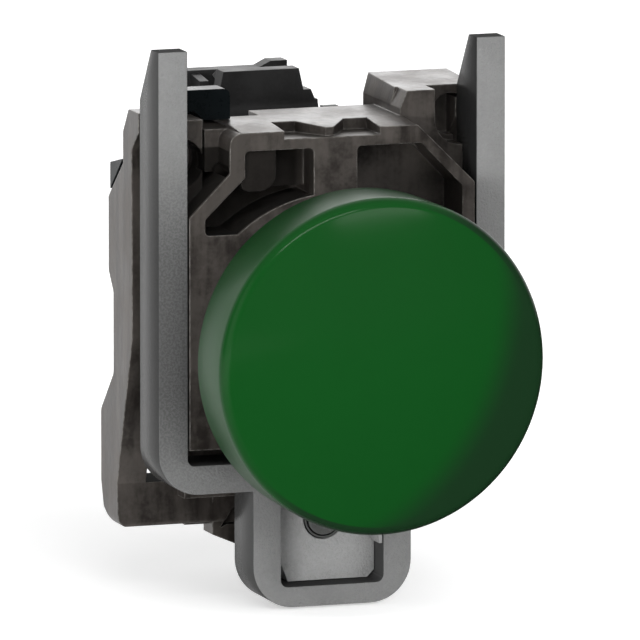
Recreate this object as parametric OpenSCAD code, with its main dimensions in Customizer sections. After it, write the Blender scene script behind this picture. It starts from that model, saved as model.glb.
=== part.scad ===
// Panel pilot light, 22 mm mounting: lens and head in front of the panel, fixing collar with its
// clamping stirrup behind it, and a clip-on light block at the back.
// The origin is on the lens axis, on the panel's front face. +Y runs back through the panel.

/* [Panel fixing] */
// Thickest panel that the light clamps on
panel_t_max = 6; // [4:0.5:7]
// Thinnest panel that the light clamps on
panel_t_min = 1; // [0.5:0.5:2]
// Thickness of the gasket under the lens
gasket_t = 0.5; // [0.4:0.1:1]
// Diameter of the barrel that passes through the panel
barrel_d = 22; // [21:0.25:22.25]

/* [Lens] */
// Largest diameter of the lens, at its front crease
lens_d = 27.9; // [27.5:0.1:29]
// Diameter of the lens at its back rim
lens_back_d = 27.7; // [27.2:0.1:28.4]
// Length of the lens's side, from its back rim to the crease
lens_side = 5.7; // [5:0.1:8]
// Radius of the lens's rounded front rim
lens_rim_r = 1.2; // [0.6:0.05:1.6]
// Height of the lens's domed front face
lens_crown = 2.2; // [0.6:0.1:3]
// Wall of the lens
lens_wall = 1.6; // [1:0.1:1.8]

/* [Head] */
// Wall of the barrel
barrel_wall = 1.5; // [1.2:0.1:2]
// Thickness of the head's flange
flange_t = 1.6; // [1.2:0.1:2]
// Thickness of the diffuser disc
diffuser_t = 1; // [0.6:0.1:1.4]
// Number of bayonet lugs
lug_count = 3; // [2:1:3]
// Thickness of the bayonet lugs
lug_t = 1.3; // [1:0.1:1.6]
// Depth of the neck behind the lugs
neck_depth = 1.1; // [0.8:0.1:1.3]

/* [Stirrup] */
// Overall width over the stirrup's prongs
stirrup_w = 30; // [30:0.2:32]
// Width of each prong
prong_w = 2.5; // [2:0.1:2.6]
// Depth of the stirrup, front to back
stirrup_d = 5; // [4.4:0.1:5]
// Height of the prong tips above the lens axis
prong_top = 24.75; // [22:0.25:28]
// Depth of the prong tips
tip_d = 2; // [1.4:0.1:3]
// Height of the slope behind each prong tip
tip_slope = 4.55; // [3:0.05:5]
// Top of the crossbar, below the lens axis
cross_z = 9.65; // [9.4:0.05:10]
// Height of the crossbar
cross_h = 2.4; // [2:0.1:2.8]
// Outer corner radius of the stirrup and its tab
bend_r = 3.5; // [2:0.25:4]
// Inner corner radius of the stirrup
inner_r = 0.6; // [0.4:0.1:1]
// Width of the lower tab
tab_w = 13.7; // [13.2:0.1:15]
// Bottom of the tab, below the lens axis
tab_z = 21.9; // [21.6:0.1:25]
// Width of the window in the tab
window_w = 8.9; // [8:0.1:9]
// Height of the rim below the window
window_rim = 1.7; // [1.4:0.1:2.2]
// Height of the rim above the window, measured from the crossbar's bottom
window_top = 0.7; // [0.4:0.1:0.8]

/* [Clamp screw] */
// Height of the clamp screw's axis below the lens axis
screw_z = 15; // [14.8:0.1:15.4]
// Thread diameter of the clamp screw
screw_d = 3.5; // [3:0.1:3.6]
// Head diameter of the clamp screw
screw_head_d = 5.6; // [5:0.1:5.8]
// Head height of the clamp screw
screw_head_h = 2.4; // [2:0.1:3]
// Thread pitch of the clamp screw
screw_pitch = 0.6; // [0.5:0.1:0.7]
// Front of the clamp plate, behind the stirrup's front face
plate_in = 2.25; // [1.6:0.05:2.4]
// Thickness of the clamp plate
plate_t = 2.2; // [1.6:0.1:2.6]

/* [Collar] */
// Gap between the collar's sides and the prongs
side_gap = 0.15; // [0.1:0.05:0.3]
// Height of the collar's top face above the lens axis
collar_top = 17.75; // [17.25:0.05:18]
// Bottom of the collar's front box, below the lens axis
collar_low = 8.35; // [8:0.05:8.8]
// Wall round the front pockets
collar_wall = 1.5; // [1.2:0.1:1.8]
// Wall of the ring round the barrel
ring_wall = 1.35; // [1.2:0.05:1.6]
// Gap between the barrel and the collar's bore
bore_gap = 0.1; // [0.05:0.05:0.2]
// Distance of the upper left step from the lens axis
step_x = 8.85; // [8.4:0.05:9.2]
// Height of the upper left step's foot
step_z = 14.45; // [14:0.05:14.8]
// Size of the upper right chamfer
chamfer_r = 4.95; // [4:0.05:5.4]
// Left edge of the web between the pockets
web_left = -1.6; // [-2.2:0.1:-1]
// Right edge of the web between the pockets
web_right = 2.15; // [1.6:0.05:2.8]
// Depth of the front pockets
pocket_d = 4.7; // [3:0.1:5.2]
// Depth of the recess round the arrow
recess_h = 0.65; // [0.4:0.05:0.9]
// Half width of the recess round the arrow
recess_x = 4.15; // [3.6:0.05:4.6]
// Length of the recess round the arrow
recess_l = 3.5; // [3:0.1:4.5]
// Half width of the arrow at its root
arrow_x = 2.1; // [1.4:0.1:2.6]

/* [Rear frame] */
// Thickness of the frame's side walls
frame_wall = 2.5; // [2:0.1:2.6]
// Front of the frame's web, behind the collar's front
web_y = 7.05; // [6.9:0.05:7.3]
// Thickness of the frame's web
web_t = 1.8; // [1.4:0.1:1.9]
// Back of the frame's bars, where the blocks seat
block_seat = 15.45; // [15.2:0.05:15.8]
// Top of the frame's bottom bar, below the lens axis
bar_z = 12.8; // [12.6:0.1:13.2]
// Bottom of the frame, below the lens axis
frame_low = 16.45; // [16.2:0.05:16.8]
// Top of the frame's side walls
wall_top = 19; // [18.7:0.05:19.3]
// Top of the upper right lug
lug_top = 20.05; // [19.8:0.05:20.4]
// Radius of the round cavities in the lugs
cavity_r = 2.2; // [1.8:0.1:2.4]

/* [Lock ring] */
// Turn of the lock ring from locked to free
unlock_angle = 25; // [18:1:28]
// Top of the lever above the lens axis
lever_top = 20.6; // [20.3:0.05:21]
// Width of the lever's grip
lever_w = 4.15; // [3:0.05:4.4]

/* [Light block] */
// Width of the block
block_w = 10; // [9:0.1:10.2]
// Overall depth behind the panel's front face
depth_behind = 43.5; // [42:0.5:50]
// Top of the block above the lens axis
block_top = 19.05; // [18.6:0.05:19.4]
// Bottom of the block, below the lens axis
block_low = 11.8; // [11.5:0.1:11.9]
// Wall of the block's housing
block_wall = 1; // [0.8:0.1:1.1]
// Thickness of the block's rear cover
cover_t = 2; // [1.6:0.1:2.4]
// Front of the upper wedge, behind the collar's front
wedge_y = 18.4; // [18:0.1:18.8]
// Top of the wedge above the lens axis
wedge_top = 20.05; // [19.6:0.05:20.4]
// Radius of the light guide
guide_r = 3.2; // [2.8:0.1:3.4]
// Thickness of the circuit board
board_t = 1.2; // [0.8:0.1:1.6]
// Diameter of the source that the guide covers
led_d = 5; // [3:0.5:6]

/* [Terminals] */
// Height of the upper terminal's screw above the lens axis
term_top = 9.6; // [9.2:0.1:9.8]
// Height of the lower terminal's screw below the lens axis
term_low = 6.5; // [6.2:0.1:6.6]
// Thread diameter of the terminal screws
term_screw_d = 2.5; // [2:0.1:2.6]
// Head diameter of the terminal screws
term_head_d = 3.8; // [3.4:0.1:4]
// Opening between strip and clamp, for the wire
wire_gap = 2.2; // [1.8:0.1:2.4]
// Radius of the wire entries
wire_r = 1.2; // [0.9:0.05:1.25]
// Distance of the wire entries from the block's middle
wire_x = 2.45; // [2.3:0.05:2.5]

/* [Hidden] */
// The ring turns by one degree more than a lug spans, so that its teeth leave the lugs
lug_angle = unlock_angle - 1;
$fn = 64;

// overlap that joins the solids of one piece, and reach of a cut past a face
bite = 0.2;
reach = 60;
// running clearance of turning pieces, and clearance of sliding ones
turn_gap = 0.05;
slide_gap = 0.1;
// flat steps in a quarter of a small rounded corner
corner_steps = 5;
full_turn = 360;

barrel_r = barrel_d / 2;
bore_r = barrel_r + bore_gap;
ring_r = bore_r + ring_wall;
lens_r = lens_d / 2;
lens_back_r = lens_back_d / 2;
lens_y = -gasket_t;
crease_y = lens_y - lens_side;
rim_y = crease_y - lens_rim_r;
face_r = lens_r - lens_rim_r;
half_w = stirrup_w / 2;
cross_low = cross_z + cross_h;
collar_half = half_w - prong_w - side_gap;
cover_y = depth_behind - cover_t;

// Distance behind the panel's front face of a point d behind the collar's front
function back(d) = panel_t_max + d;
function unit(v) = v / norm(v);
// Points of a corner b between a and c, rounded by the radius r
function corner(a, b, c, r) =
    let (
        m = [b[0], b[1]],
        u = unit([a[0], a[1]] - m),
        v = unit([c[0], c[1]] - m),
        half = acos(u * v) / 2,
        centre = m + unit(u + v) * r / sin(half),
        p = m + u * r / tan(half) - centre,
        q = m + v * r / tan(half) - centre,
        start = atan2(p[1], p[0]),
        turn = (atan2(q[1], q[0]) - start + 1.5 * full_turn) % full_turn - full_turn / 2
    )
    r <= 0 ? [m] : [
        for (i = [0 : corner_steps])
            centre + r * [cos(start + turn * i / corner_steps), sin(start + turn * i / corner_steps)]
    ];
// Outline of [x, y, radius] points with its corners rounded
function rounded(pts) = [
    for (i = [0 : len(pts) - 1])
        each corner(pts[(i + len(pts) - 1) % len(pts)], pts[i], pts[(i + 1) % len(pts)], pts[i][2])
];

// Profile in X and Z, extruded from y0 to y1
module along_y(y0, y1) {
    translate([0, y1, 0]) rotate([90, 0, 0]) linear_extrude(y1 - y0) children();
}
// Profile in Y and Z, extruded from x0 to x1
module along_x(x0, x1) {
    translate([x0, 0, 0]) rotate([90, 0, 90]) linear_extrude(x1 - x0) children();
}
module along_z(z0, z1) {
    translate([0, 0, z0]) linear_extrude(z1 - z0) children();
}
// Round bar along Y
module rod_y(r, y0, y1, x = 0, z = 0) {
    translate([x, y0, z]) rotate([-90, 0, 0]) cylinder(r = r, h = y1 - y0);
}
// Turned shape about an axis along Y, from a profile of [radius, y] points
module turned_y(pts, x = 0, z = 0) {
    translate([x, 0, z]) rotate([-90, 0, 0]) rotate_extrude($fn = 96) polygon(pts);
}
module block_xyz(x, y, z) {
    translate([x[0], y[0], z[0]]) cube([x[1] - x[0], y[1] - y[0], z[1] - z[0]]);
}
// Area between a square corner at [x, y] and its fillet, turned to face its quadrant
module spandrel(x, y, quarter, r) {
    translate([x, y]) rotate(quarter) difference() {
        translate([-bite, -bite]) square(r + bite);
        translate([r, r]) circle(r);
    }
}

// Lens: one moulded cap with a crease, a rounded rim and a domed front
rim_steps = 6;
crown_steps = 8;
lens_bore_r = lens_back_r - lens_wall;
// The rounding ends where it meets the dome's slope
rim_turn = 90 - atan(2 * lens_crown / face_r);
crown_r = face_r + lens_rim_r * cos(rim_turn);
crown_y = crease_y - lens_rim_r * sin(rim_turn);
lens_rim = [
    for (i = [0 : rim_steps])
        let (a = rim_turn * i / rim_steps)
        [face_r + lens_rim_r * cos(a), crease_y - lens_rim_r * sin(a)]
];
lens_face = [
    for (i = [1 : crown_steps])
        let (r = crown_r * (1 - i / crown_steps))
        [r, crown_y - lens_crown * (1 - pow(r / crown_r, 2))]
];
module lens() {
    color([0.08, 0.42, 0.13]) difference() {
        turned_y(concat([[0, lens_y], [lens_back_r, lens_y], [lens_r, crease_y]], lens_rim, lens_face));
        turned_y([
            [0, lens_y + bite], [lens_bore_r, lens_y + bite], [lens_bore_r, rim_y + lens_wall],
            [lens_bore_r / 2, rim_y + lens_wall - lens_crown * 0.75], [0, rim_y + lens_wall - lens_crown]
        ]);
    }
}

// Head: barrel with flange, seal groove and bayonet lugs
nose_r = lens_bore_r - slide_gap;
seal_r = 0.5;
seal_y = lens_y - flange_t - 2 * seal_r;
nose_y = seal_y - 2 * seal_r;
barrel_in_r = barrel_r - neck_depth - barrel_wall / 2;
ring_y0 = back(web_y + web_t + slide_gap);
bayonet_y = ring_y0 + lug_t + 2 * slide_gap;
barrel_end = bayonet_y + lug_t;
module head_body() {
    color([0.62, 0.62, 0.60]) {
        difference() {
            turned_y([
                [barrel_in_r, nose_y], [nose_r, nose_y], [nose_r, lens_y], [barrel_r, lens_y],
                [barrel_r, ring_y0 - slide_gap], [barrel_r - neck_depth, ring_y0 - slide_gap],
                [barrel_r - neck_depth, barrel_end], [barrel_in_r, barrel_end]
            ]);
            turned_y([
                [nose_r - 2 * seal_r, seal_y - seal_r], [nose_r + bite, seal_y - seal_r],
                [nose_r + bite, seal_y + seal_r], [nose_r - 2 * seal_r, seal_y + seal_r]
            ]);
        }
        for (i = [0 : lug_count - 1]) {
            rotate([0, 90 + i * 360 / lug_count - lug_angle / 2, 0]) rotate([-90, 0, 0])
                translate([0, 0, bayonet_y]) rotate_extrude(angle = lug_angle, $fn = 96)
                    translate([barrel_r - neck_depth - bite, 0]) square([neck_depth + bite, lug_t]);
        }
    }
}
module lens_seal() {
    color([0.06, 0.06, 0.06]) rotate([-90, 0, 0]) translate([0, 0, seal_y])
        rotate_extrude($fn = 96) translate([lens_bore_r - seal_r, 0]) circle(seal_r, $fn = 24);
}
module diffuser() {
    color([0.90, 0.92, 0.90])
        rod_y(nose_r - slide_gap, nose_y - diffuser_t, nose_y);
}
module panel_gasket() {
    color([0.07, 0.07, 0.07]) turned_y([
        [barrel_r + turn_gap, lens_y], [lens_back_r - lens_wall / 3, lens_y],
        [lens_back_r - lens_wall / 3, 0], [barrel_r + turn_gap, 0]
    ]);
}

// Stirrup: cast fork with two prongs, a crossbar and a lower tab with its window
window_low = tab_z - window_rim;
window_high = cross_low + window_top;
module stirrup_outline() {
    difference() {
        union() {
            difference() {
                translate([-half_w, -cross_low]) square([stirrup_w, prong_top + cross_low]);
                translate([prong_w - half_w, -cross_z]) square([stirrup_w - 2 * prong_w, reach]);
                spandrel(-half_w, -cross_low, 0, bend_r);
                spandrel(half_w, -cross_low, 90, bend_r);
            }
            spandrel(prong_w - half_w, -cross_z, 0, inner_r);
            spandrel(half_w - prong_w, -cross_z, 90, inner_r);
            difference() {
                translate([-tab_w / 2, -tab_z]) square([tab_w, tab_z - cross_z - bite]);
                spandrel(-tab_w / 2, -tab_z, 0, bend_r);
                spandrel(tab_w / 2, -tab_z, 90, bend_r);
            }
        }
        circle(barrel_r + 2 * side_gap);
        polygon(rounded([
            [-window_w / 2, -window_low, inner_r], [window_w / 2, -window_low, inner_r],
            [window_w / 2, -window_high, 0], [-window_w / 2, -window_high, 0]
        ]));
    }
}
module stirrup() {
    color([0.55, 0.56, 0.55]) difference() {
        along_y(back(0), back(stirrup_d)) stirrup_outline();
        along_x(-reach, reach) polygon([
            [back(tip_d), prong_top], [back(stirrup_d), prong_top - tip_slope],
            [back(reach), prong_top - tip_slope], [back(reach), prong_top + reach],
            [back(tip_d), prong_top + reach]
        ]);
    }
}

// Clamp plate in the stirrup's window: tapered lower left edge, a rib on the right, and a
// countersunk hole for the screw's plain end
plate_y = back(plate_in);
plate_half = window_w / 2 - turn_gap;
plate_top = window_high + turn_gap;
plate_low = window_low - turn_gap;
plate_r = inner_r;
taper_h = 3.1;
taper_w = 1.3;
rib_w = 0.3;
rib_low = 17;
rib_front = 0.15;
sink = 0.1;
tip_r = screw_d / 2 - turn_gap;
module clamp_plate() {
    color([0.56, 0.58, 0.56]) {
        difference() {
            along_y(plate_y, plate_y + plate_t) polygon([
                [-plate_half, -plate_top], [plate_half, -plate_top],
                [plate_half, -plate_low + plate_r], [plate_half - plate_r, -plate_low],
                [taper_w - plate_half, -plate_low], [-plate_half, -plate_low + taper_h]
            ]);
            rod_y(tip_r + turn_gap, plate_y - bite, plate_y + plate_t + bite, 0, -screw_z);
            turned_y([
                [0, plate_y - bite], [tip_r + sink + bite, plate_y - bite],
                [tip_r, plate_y + sink], [0, plate_y + sink]
            ], 0, -screw_z);
        }
        block_xyz([plate_half - rib_w, plate_half], [back(rib_front), plate_y + bite],
            [-rib_low, -plate_top]);
    }
}
// Clamp screw: plain end held in the plate, a collar behind it, thread and cross-slotted head
travel = panel_t_max - panel_t_min;
screw_r = screw_d / 2;
screw_tip = plate_y - 0.1;
tip_bevel = screw_pitch / 2;
shoulder_t = 0.7;
shoulder_r = screw_z - window_high - turn_gap;
shoulder_y = plate_y + plate_t + turn_gap;
head_gap = 0.6;
screw_head_y = back(block_seat) + travel + head_gap;
screw_end = screw_head_y + screw_head_h;
head_r = screw_head_d / 2;
head_bevel = 0.5;
slot_half = 0.45;
slot_l = 1.7;
slot_d = 1.3;
module clamp_screw() {
    color([0.62, 0.63, 0.62]) difference() {
        turned_y([
            [0, screw_tip], [tip_r - tip_bevel, screw_tip], [tip_r, screw_tip + tip_bevel],
            [tip_r, shoulder_y], [shoulder_r, shoulder_y],
            [shoulder_r, shoulder_y + shoulder_t], [screw_r, shoulder_y + shoulder_t],
            [screw_r, screw_head_y], [head_r, screw_head_y],
            [head_r, screw_end - head_bevel], [head_r - head_bevel, screw_end], [0, screw_end]
        ], 0, -screw_z);
        for (a = [0, 90]) translate([0, 0, -screw_z]) rotate([0, a, 0])
            block_xyz([-slot_half, slot_half], [screw_end - slot_d, screw_end + bite], [-slot_l, slot_l]);
    }
}

// Collar body: one casting of front box, barrel ring, top plate, lugs and rear frame
inner_x = half_w - frame_wall;
pocket_top = collar_top - collar_wall;
left_foot = step_z - (collar_half - step_x);
side_rim = 1.35;
right_rim = 1.05;
pocket_low = left_foot - side_rim - bite;
step_r = 1;
edge_r = 0.3;
module box_outline() {
    polygon(rounded([
        [-collar_half, -collar_low, 0], [collar_half, -collar_low, 0],
        [collar_half, collar_top - chamfer_r, edge_r], [collar_half - chamfer_r, collar_top, edge_r],
        [-step_x, collar_top, step_r], [-step_x, step_z, edge_r], [-collar_half, left_foot, edge_r]
    ]));
}
pocket_r = 0.4;
pocket_left = collar_wall - step_x - bite;
module left_pocket() {
    difference() {
        polygon(rounded([
            [web_left, pocket_top, pocket_r], [pocket_left, pocket_top, pocket_r],
            [pocket_left, step_z - pocket_r, pocket_r / 2],
            [side_rim - collar_half, left_foot - pocket_r / 2, pocket_r],
            [side_rim - collar_half, pocket_low, pocket_r], [web_left, pocket_low, 0]
        ]));
        circle(ring_r);
    }
}
module right_pocket() {
    x = collar_half - right_rim;
    difference() {
        polygon(rounded([
            [web_right, 0, 0], [x, 0, 0], [x, collar_top - chamfer_r - edge_r, edge_r],
            [collar_half - chamfer_r + edge_r, pocket_top, edge_r], [web_right, pocket_top, pocket_r]
        ]));
        circle(ring_r);
    }
}
// Round-bottomed boss and flat step in the left pocket
boss_front = 0.45;
boss_w = 2.8;
boss_h = 3.4;
boss_corner = 1.35;
ledge_front = 2.7;
ledge_h = 3.4;
module pocket_boss() {
    x1 = pocket_left + boss_w;
    along_y(back(boss_front), back(pocket_d + bite)) polygon(rounded([
        [pocket_left - bite, pocket_top + bite, 0], [x1, pocket_top + bite, 0],
        [x1, pocket_top - boss_h, boss_corner], [pocket_left - bite, pocket_top - boss_h, boss_corner / 2]
    ]));
    along_y(back(ledge_front), back(pocket_d + bite)) polygon(rounded([
        [pocket_left, pocket_top + bite, 0], [web_left + bite, pocket_top + bite, 0],
        [web_left + bite, pocket_top - ledge_h, 0], [pocket_left, pocket_top - ledge_h, 0]
    ]));
}
// Top plate: rises slightly behind the front edge, then runs flat over the frame
top_rise = 0.27;
plate_back = 10.2;
plate_left = -3.85;
step_plate_d = 0.4;
arrow_tip_y = 0.75;
arrow_tip_x = 0.34;
top_z = collar_top + top_rise;
lug_x0 = 7.7;
module top_plate() {
    along_x(-step_x + step_r, collar_half - chamfer_r - bite) polygon([
        [back(0), collar_top - bite], [back(0), collar_top], [back(recess_l), top_z],
        [back(web_y + step_plate_d), top_z], [back(web_y + step_plate_d), pocket_top],
        [back(web_y - bite), pocket_top]
    ]);
    block_xyz([plate_left, lug_x0], [back(web_y - bite), back(plate_back)], [pocket_top, top_z]);
    block_xyz([lug_foot_x, lug_x0], [back(web_y), back(lug_y1)], [lug_foot_z, pocket_top + bite]);
}
module arrow_recess() {
    along_z(collar_top - recess_h, collar_top + 1) difference() {
        translate([-recess_x, back(-bite)]) square([2 * recess_x, recess_l + bite]);
        polygon([
            [-arrow_x, back(recess_l) + bite], [-arrow_x, back(recess_l)],
            [-arrow_tip_x, back(arrow_tip_y)], [arrow_tip_x, back(arrow_tip_y)],
            [arrow_x, back(recess_l)], [arrow_x, back(recess_l) + bite]
        ]);
    }
}
// Side profile of the frame's walls, as [distance behind the collar's front, height, radius]
wall_front = 5.3;
wall_back = 13.3;
wall_waist = 12.05;
wall_toe = 10.85;
wall_tip = 7.9;
wall_neck = 9.4;
wall_drop = 2.05;
ramp_z = [14.3, 11.25];
ramp_r = 0.3;
waist_z = [4.8, 3.2];
hip_z = [-3.65, -7.15];
wall_r = 0.5;
hip_r = 0.8;
heel = [14.8, -15.2];
sole_y = 12.7;
sole_r = 0.6;
shin_y = 11.2;
web_foot_z = 0.1;
web_head_z = 15.8;
front_foot_z = 17.4;
front_r = 1.2;
wall_profile = [
    [wall_front, wall_top, 0], [wall_tip, wall_top, ramp_r], [wall_neck, wall_top - wall_drop, ramp_r],
    [wall_neck, ramp_z[0], 0], [wall_back - ramp_r, ramp_z[1], 0], [wall_back, ramp_z[1] - ramp_r, 0],
    [wall_back, waist_z[0], wall_r], [wall_waist, waist_z[1], wall_r], [wall_waist, hip_z[0], hip_r],
    [block_seat, hip_z[1], hip_r], [block_seat, -bar_z, sole_r], [heel[0], heel[1], ramp_r],
    [sole_y, -frame_low, sole_r], [wall_toe, -frame_low, ramp_r], [shin_y, -bar_z, 0],
    [web_y, web_foot_z, hip_r], [web_y + web_foot_z, web_head_z, front_r], [wall_front, front_foot_z, 0]
];
bar_profile = [
    [shin_y, -bar_z, 0], [block_seat, -bar_z, 0], [block_seat, -bar_z - ramp_r, 0],
    [heel[0], heel[1], ramp_r],
    [sole_y, -frame_low, sole_r], [wall_toe, -frame_low, ramp_r]
];
toe_r = 0.9;
module frame_sides() {
    difference() {
        union() {
            for (x0 = [-half_w, inner_x])
                translate([0, panel_t_max, 0]) along_x(x0, x0 + frame_wall) polygon(rounded(wall_profile));
            along_x(-half_w, half_w) translate([panel_t_max, 0]) polygon(rounded(bar_profile));
        }
        along_y(back(wall_toe - 1), back(block_seat + 1)) {
            spandrel(-half_w, -frame_low, 0, toe_r);
            spandrel(half_w, -frame_low, 90, toe_r);
        }
    }
    block_xyz([-bar_step_x, bar_step_x], [back(bar_step_y), back(wall_back - 0.1)],
        [-frame_low - bite, -bar_z]);
}
bar_step_x = 9;
bar_step_y = 11.6;
web_skirt_x = 10.5;
web_skirt_z = 13.6;
module web_outline() {
    difference() {
        union() {
            translate([-inner_x - bite, -collar_low]) square([2 * inner_x + 2 * bite, collar_low + step_z]);
            translate([-web_skirt_x, -web_skirt_z]) square([2 * web_skirt_x, web_skirt_z]);
            intersection() {
                box_outline();
                translate([-collar_half, 0]) square([2 * collar_half, collar_top]);
            }
            circle(ring_r);
        }
        circle(bore_r);
    }
}
// Upper right lug: front part with a round cut-out, rear part over the side wall with a blind hole
lug_y0 = 3.5;
lug_y1 = 12.9;
lug_mid = 5.9;
lug_foot_x = 3.5;
lug_foot_z = pocket_top - 1.5;
lug_flank = 0.65;
lug_flank_z = lug_top - 1.45;
lug_over = 14.35;
lug_under = collar_top - chamfer_r + 0.6;
cavity_x = inner_x - 0.2;
cavity_z = lug_top - cavity_r - 0.25;
hole_back = 7.6;
hole_step = 0.45;
lug_rise = 0.25;
lug_root = 1.2;
lug_clip = 0.6;
lug_cap = 1;
module right_lug() {
    difference() {
        union() {
            along_y(back(lug_y0), back(lug_mid + bite)) polygon([
                [lug_x0 - lug_flank, pocket_top], [lug_x0 - lug_flank, lug_flank_z], [lug_x0, lug_top],
                [cavity_x - cavity_r, lug_top], [cavity_x - cavity_r, cavity_z], [inner_x, cavity_z],
                [inner_x, lug_under], [collar_half - lug_cap, lug_under - lug_clip],
                [lug_x0 + lug_root, pocket_top - lug_root]
            ]);
            intersection() {
                along_y(back(lug_mid), back(lug_y1)) polygon([
                    [lug_x0 - lug_flank, pocket_top], [lug_x0 - lug_flank, lug_flank_z],
                    [lug_x0, lug_top + lug_cap],
                    [lug_over, lug_top + lug_cap], [lug_over, wall_top - lug_cap],
                    [inner_x, wall_top - lug_cap],
                    [inner_x, lug_under], [lug_x0 + lug_root, pocket_top - lug_root]
                ]);
                along_x(lug_x0 - lug_cap, lug_over + lug_cap) polygon([
                    [back(lug_mid) - lug_cap, 0], [back(lug_mid) - lug_cap, lug_top],
                    [back(lug_mid), lug_top],
                    [back(lug_y1), lug_top + lug_rise], [back(lug_y1 + lug_cap), lug_top + lug_rise],
                    [back(lug_y1 + lug_cap), 0]
                ]);
            }
            block_xyz([inner_x - 0.1, lug_over], [back(lug_mid), back(lug_mid + 2)],
                [wall_top - 2, wall_top]);
        }
        rod_y(cavity_r, back(-1), back(lug_mid), cavity_x, cavity_z);
        rod_y(cavity_r - hole_step, back(-1), back(hole_back), cavity_x, cavity_z);
        rod_y(ring_r, back(0), back(lug_y1 + 1));
    }
}
// Upper left lug, with a round cut-out beside the slit next to the front box
left_lug_x = 10.35;
left_back_x = 9.7;
left_lug_y = 2.7;
left_mid_y = 4.5;
left_lug_top = wall_top - 0.35;
left_cavity_r = 2.05;
left_cavity_z = 15.1;
slit_y = 6;
module left_lug() {
    left_end = back(lug_mid - 0.1);
    difference() {
        union() {
            block_xyz([-collar_half, -left_lug_x], [back(left_lug_y), left_end], [left_foot, left_lug_top]);
            block_xyz([-inner_x - bite, -left_lug_x], [back(wall_front), left_end],
                [left_foot, left_lug_top]);
            block_xyz([-collar_half, -left_back_x], [back(left_mid_y), left_end],
                [left_foot, left_lug_top - 0.3]);
            block_xyz([-inner_x, -left_back_x], [back(wall_front), back(web_y + bite)],
                [left_foot, collar_top]);
        }
        rod_y(left_cavity_r, back(2), back(web_y - 0.6), -inner_x + 0.2, left_cavity_z);
    }
}
// Flank that widens the box to the left behind its front, up to the slit beside the lug
flank_front = 3;
flank_slit = 0.3;
module left_flank() {
    block_xyz([flank_slit - left_lug_x, step_r - step_x], [back(flank_front), back(web_y + bite)],
        [step_z - bite, collar_top]);
}
// Boss that the clamp screw threads through, with the stiffening plate under the bottom bar
boss_r = 3.2;
boss_y0 = back(stirrup_d) + 1.6;
keel_x = 6.75;
keel_flat = 3.4;
keel_side = 17.5;
keel_low = 18.95;
keel_y = [11, 13.4];
groove_d = 0.8;
groove_x = 5;
groove_z = 15.3;
groove_w = 1.1;
groove_h = 1.65;
module screw_boss() {
    difference() {
        rod_y(boss_r, boss_y0, back(block_seat), 0, -screw_z);
        rod_y(ring_out_r + slide_gap, ring_y0 - slide_gap, sector_y1 + slide_gap);
    }
    along_y(back(keel_y[0]), back(keel_y[1])) polygon([
        [-keel_x, -bar_z - bite], [keel_x, -bar_z - bite], [keel_x, -keel_side], [keel_flat, -keel_low],
        [-keel_flat, -keel_low], [-keel_x, -keel_side]
    ]);
}
module keel_grooves() {
    for (side = [0, 1]) mirror([side, 0, 0])
        along_y(back(wall_toe - 1), back(keel_y[0] + groove_d)) polygon([
            [-groove_x, -groove_z], [-groove_x - groove_w, -groove_z - groove_h],
            [-groove_x - groove_w / 2, -groove_z - groove_h + groove_w / 4],
            [-boss_r - 1, -groove_z - groove_h + groove_w / 4], [-boss_r - 1, -groove_z]
        ]);
}
// Rear top bar on two posts, with the notch that takes the block's catch
bar_top = 15.6;
bar_top_h = 2.6;
bar_front = 13;
notch_x = 1.7;
notch_y = [13.3, 14.7];
notch_d = 1.1;
post_w = 1.1;
post_low = 8;
module top_bar() {
    difference() {
        block_xyz([-inner_x, inner_x], [back(bar_front), back(block_seat)], [bar_top - bar_top_h, bar_top]);
        block_xyz([-notch_x, notch_x], [back(notch_y[0]), back(notch_y[1])],
            [bar_top - notch_d, bar_top + 1]);
    }
    for (side = [0, 1]) mirror([side, 0, 0])
        block_xyz([inner_x - post_w, inner_x + bite], [back(bar_front - turn_gap), back(block_seat)],
            [post_low, bar_top]);
    block_xyz([inner_x - post_w, inner_x], [back(lug_y1 - bite), back(bar_front + bite)],
        [lug_under + 0.3, bar_top]);
}
slot_y = [0.3, 3.3];
slot_h = 0.42;
module collar_body() {
    color([0.50, 0.48, 0.46]) difference() {
        union() {
            difference() {
                along_y(back(0), back(web_y + bite)) box_outline();
                rod_y(bore_r, back(-1), back(web_y + 1));
                along_y(back(-1), back(pocket_d)) left_pocket();
                along_y(back(-1), back(pocket_d)) right_pocket();
                block_xyz([-step_x - 1, -step_x + 1], [back(slit_y), back(web_y)], [step_z, collar_top - 1]);
            }
            pocket_boss();
            along_y(back(web_y), back(web_y + web_t)) web_outline();
            frame_sides();
            top_bar();
            top_plate();
            right_lug();
            left_lug();
            left_flank();
            screw_boss();
        }
        arrow_recess();
        keel_grooves();
        translate([-step_x, 0, step_z]) rotate([0, 45, 0])
            block_xyz([-slot_h, 1.4], [back(slot_y[0]), back(slot_y[1])], [-slot_h, slot_h]);
        rod_y(screw_r + turn_gap, boss_y0 - 1, back(block_seat) + 1, 0, -screw_z);
    }
}

// Lock ring: toothed ring that catches the lugs, a sector plate, its finger lever and a side peg
ring_in_r = barrel_r + side_gap;
ring_out_r = inner_x - 0.3;
tooth_r = barrel_r - neck_depth + side_gap;
sector_y0 = back(plate_back) + bite;
sector_y1 = sector_y0 + 1.9;
sector_r = 18.2;
sector_right = [-3.4, 10];
sector_up = [-6.2, 20];
sector_low = [9.4, 7];
sector_foot = -6;
lever_left = -11;
lever_y = back(6);
lever_t = 2;
lever_low = top_z + turn_gap;
lever_cut = 0.75;
lever_slab = 0.85;
lever_toe = [1, 1.95];
peg_front = 9.75;
peg_back = 12.85;
peg_in = inner_x + 0.7;
peg_z = [14.3, 11.4];
peg_top = [14.3, 13.9];
peg_gap = 0.15;
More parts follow.
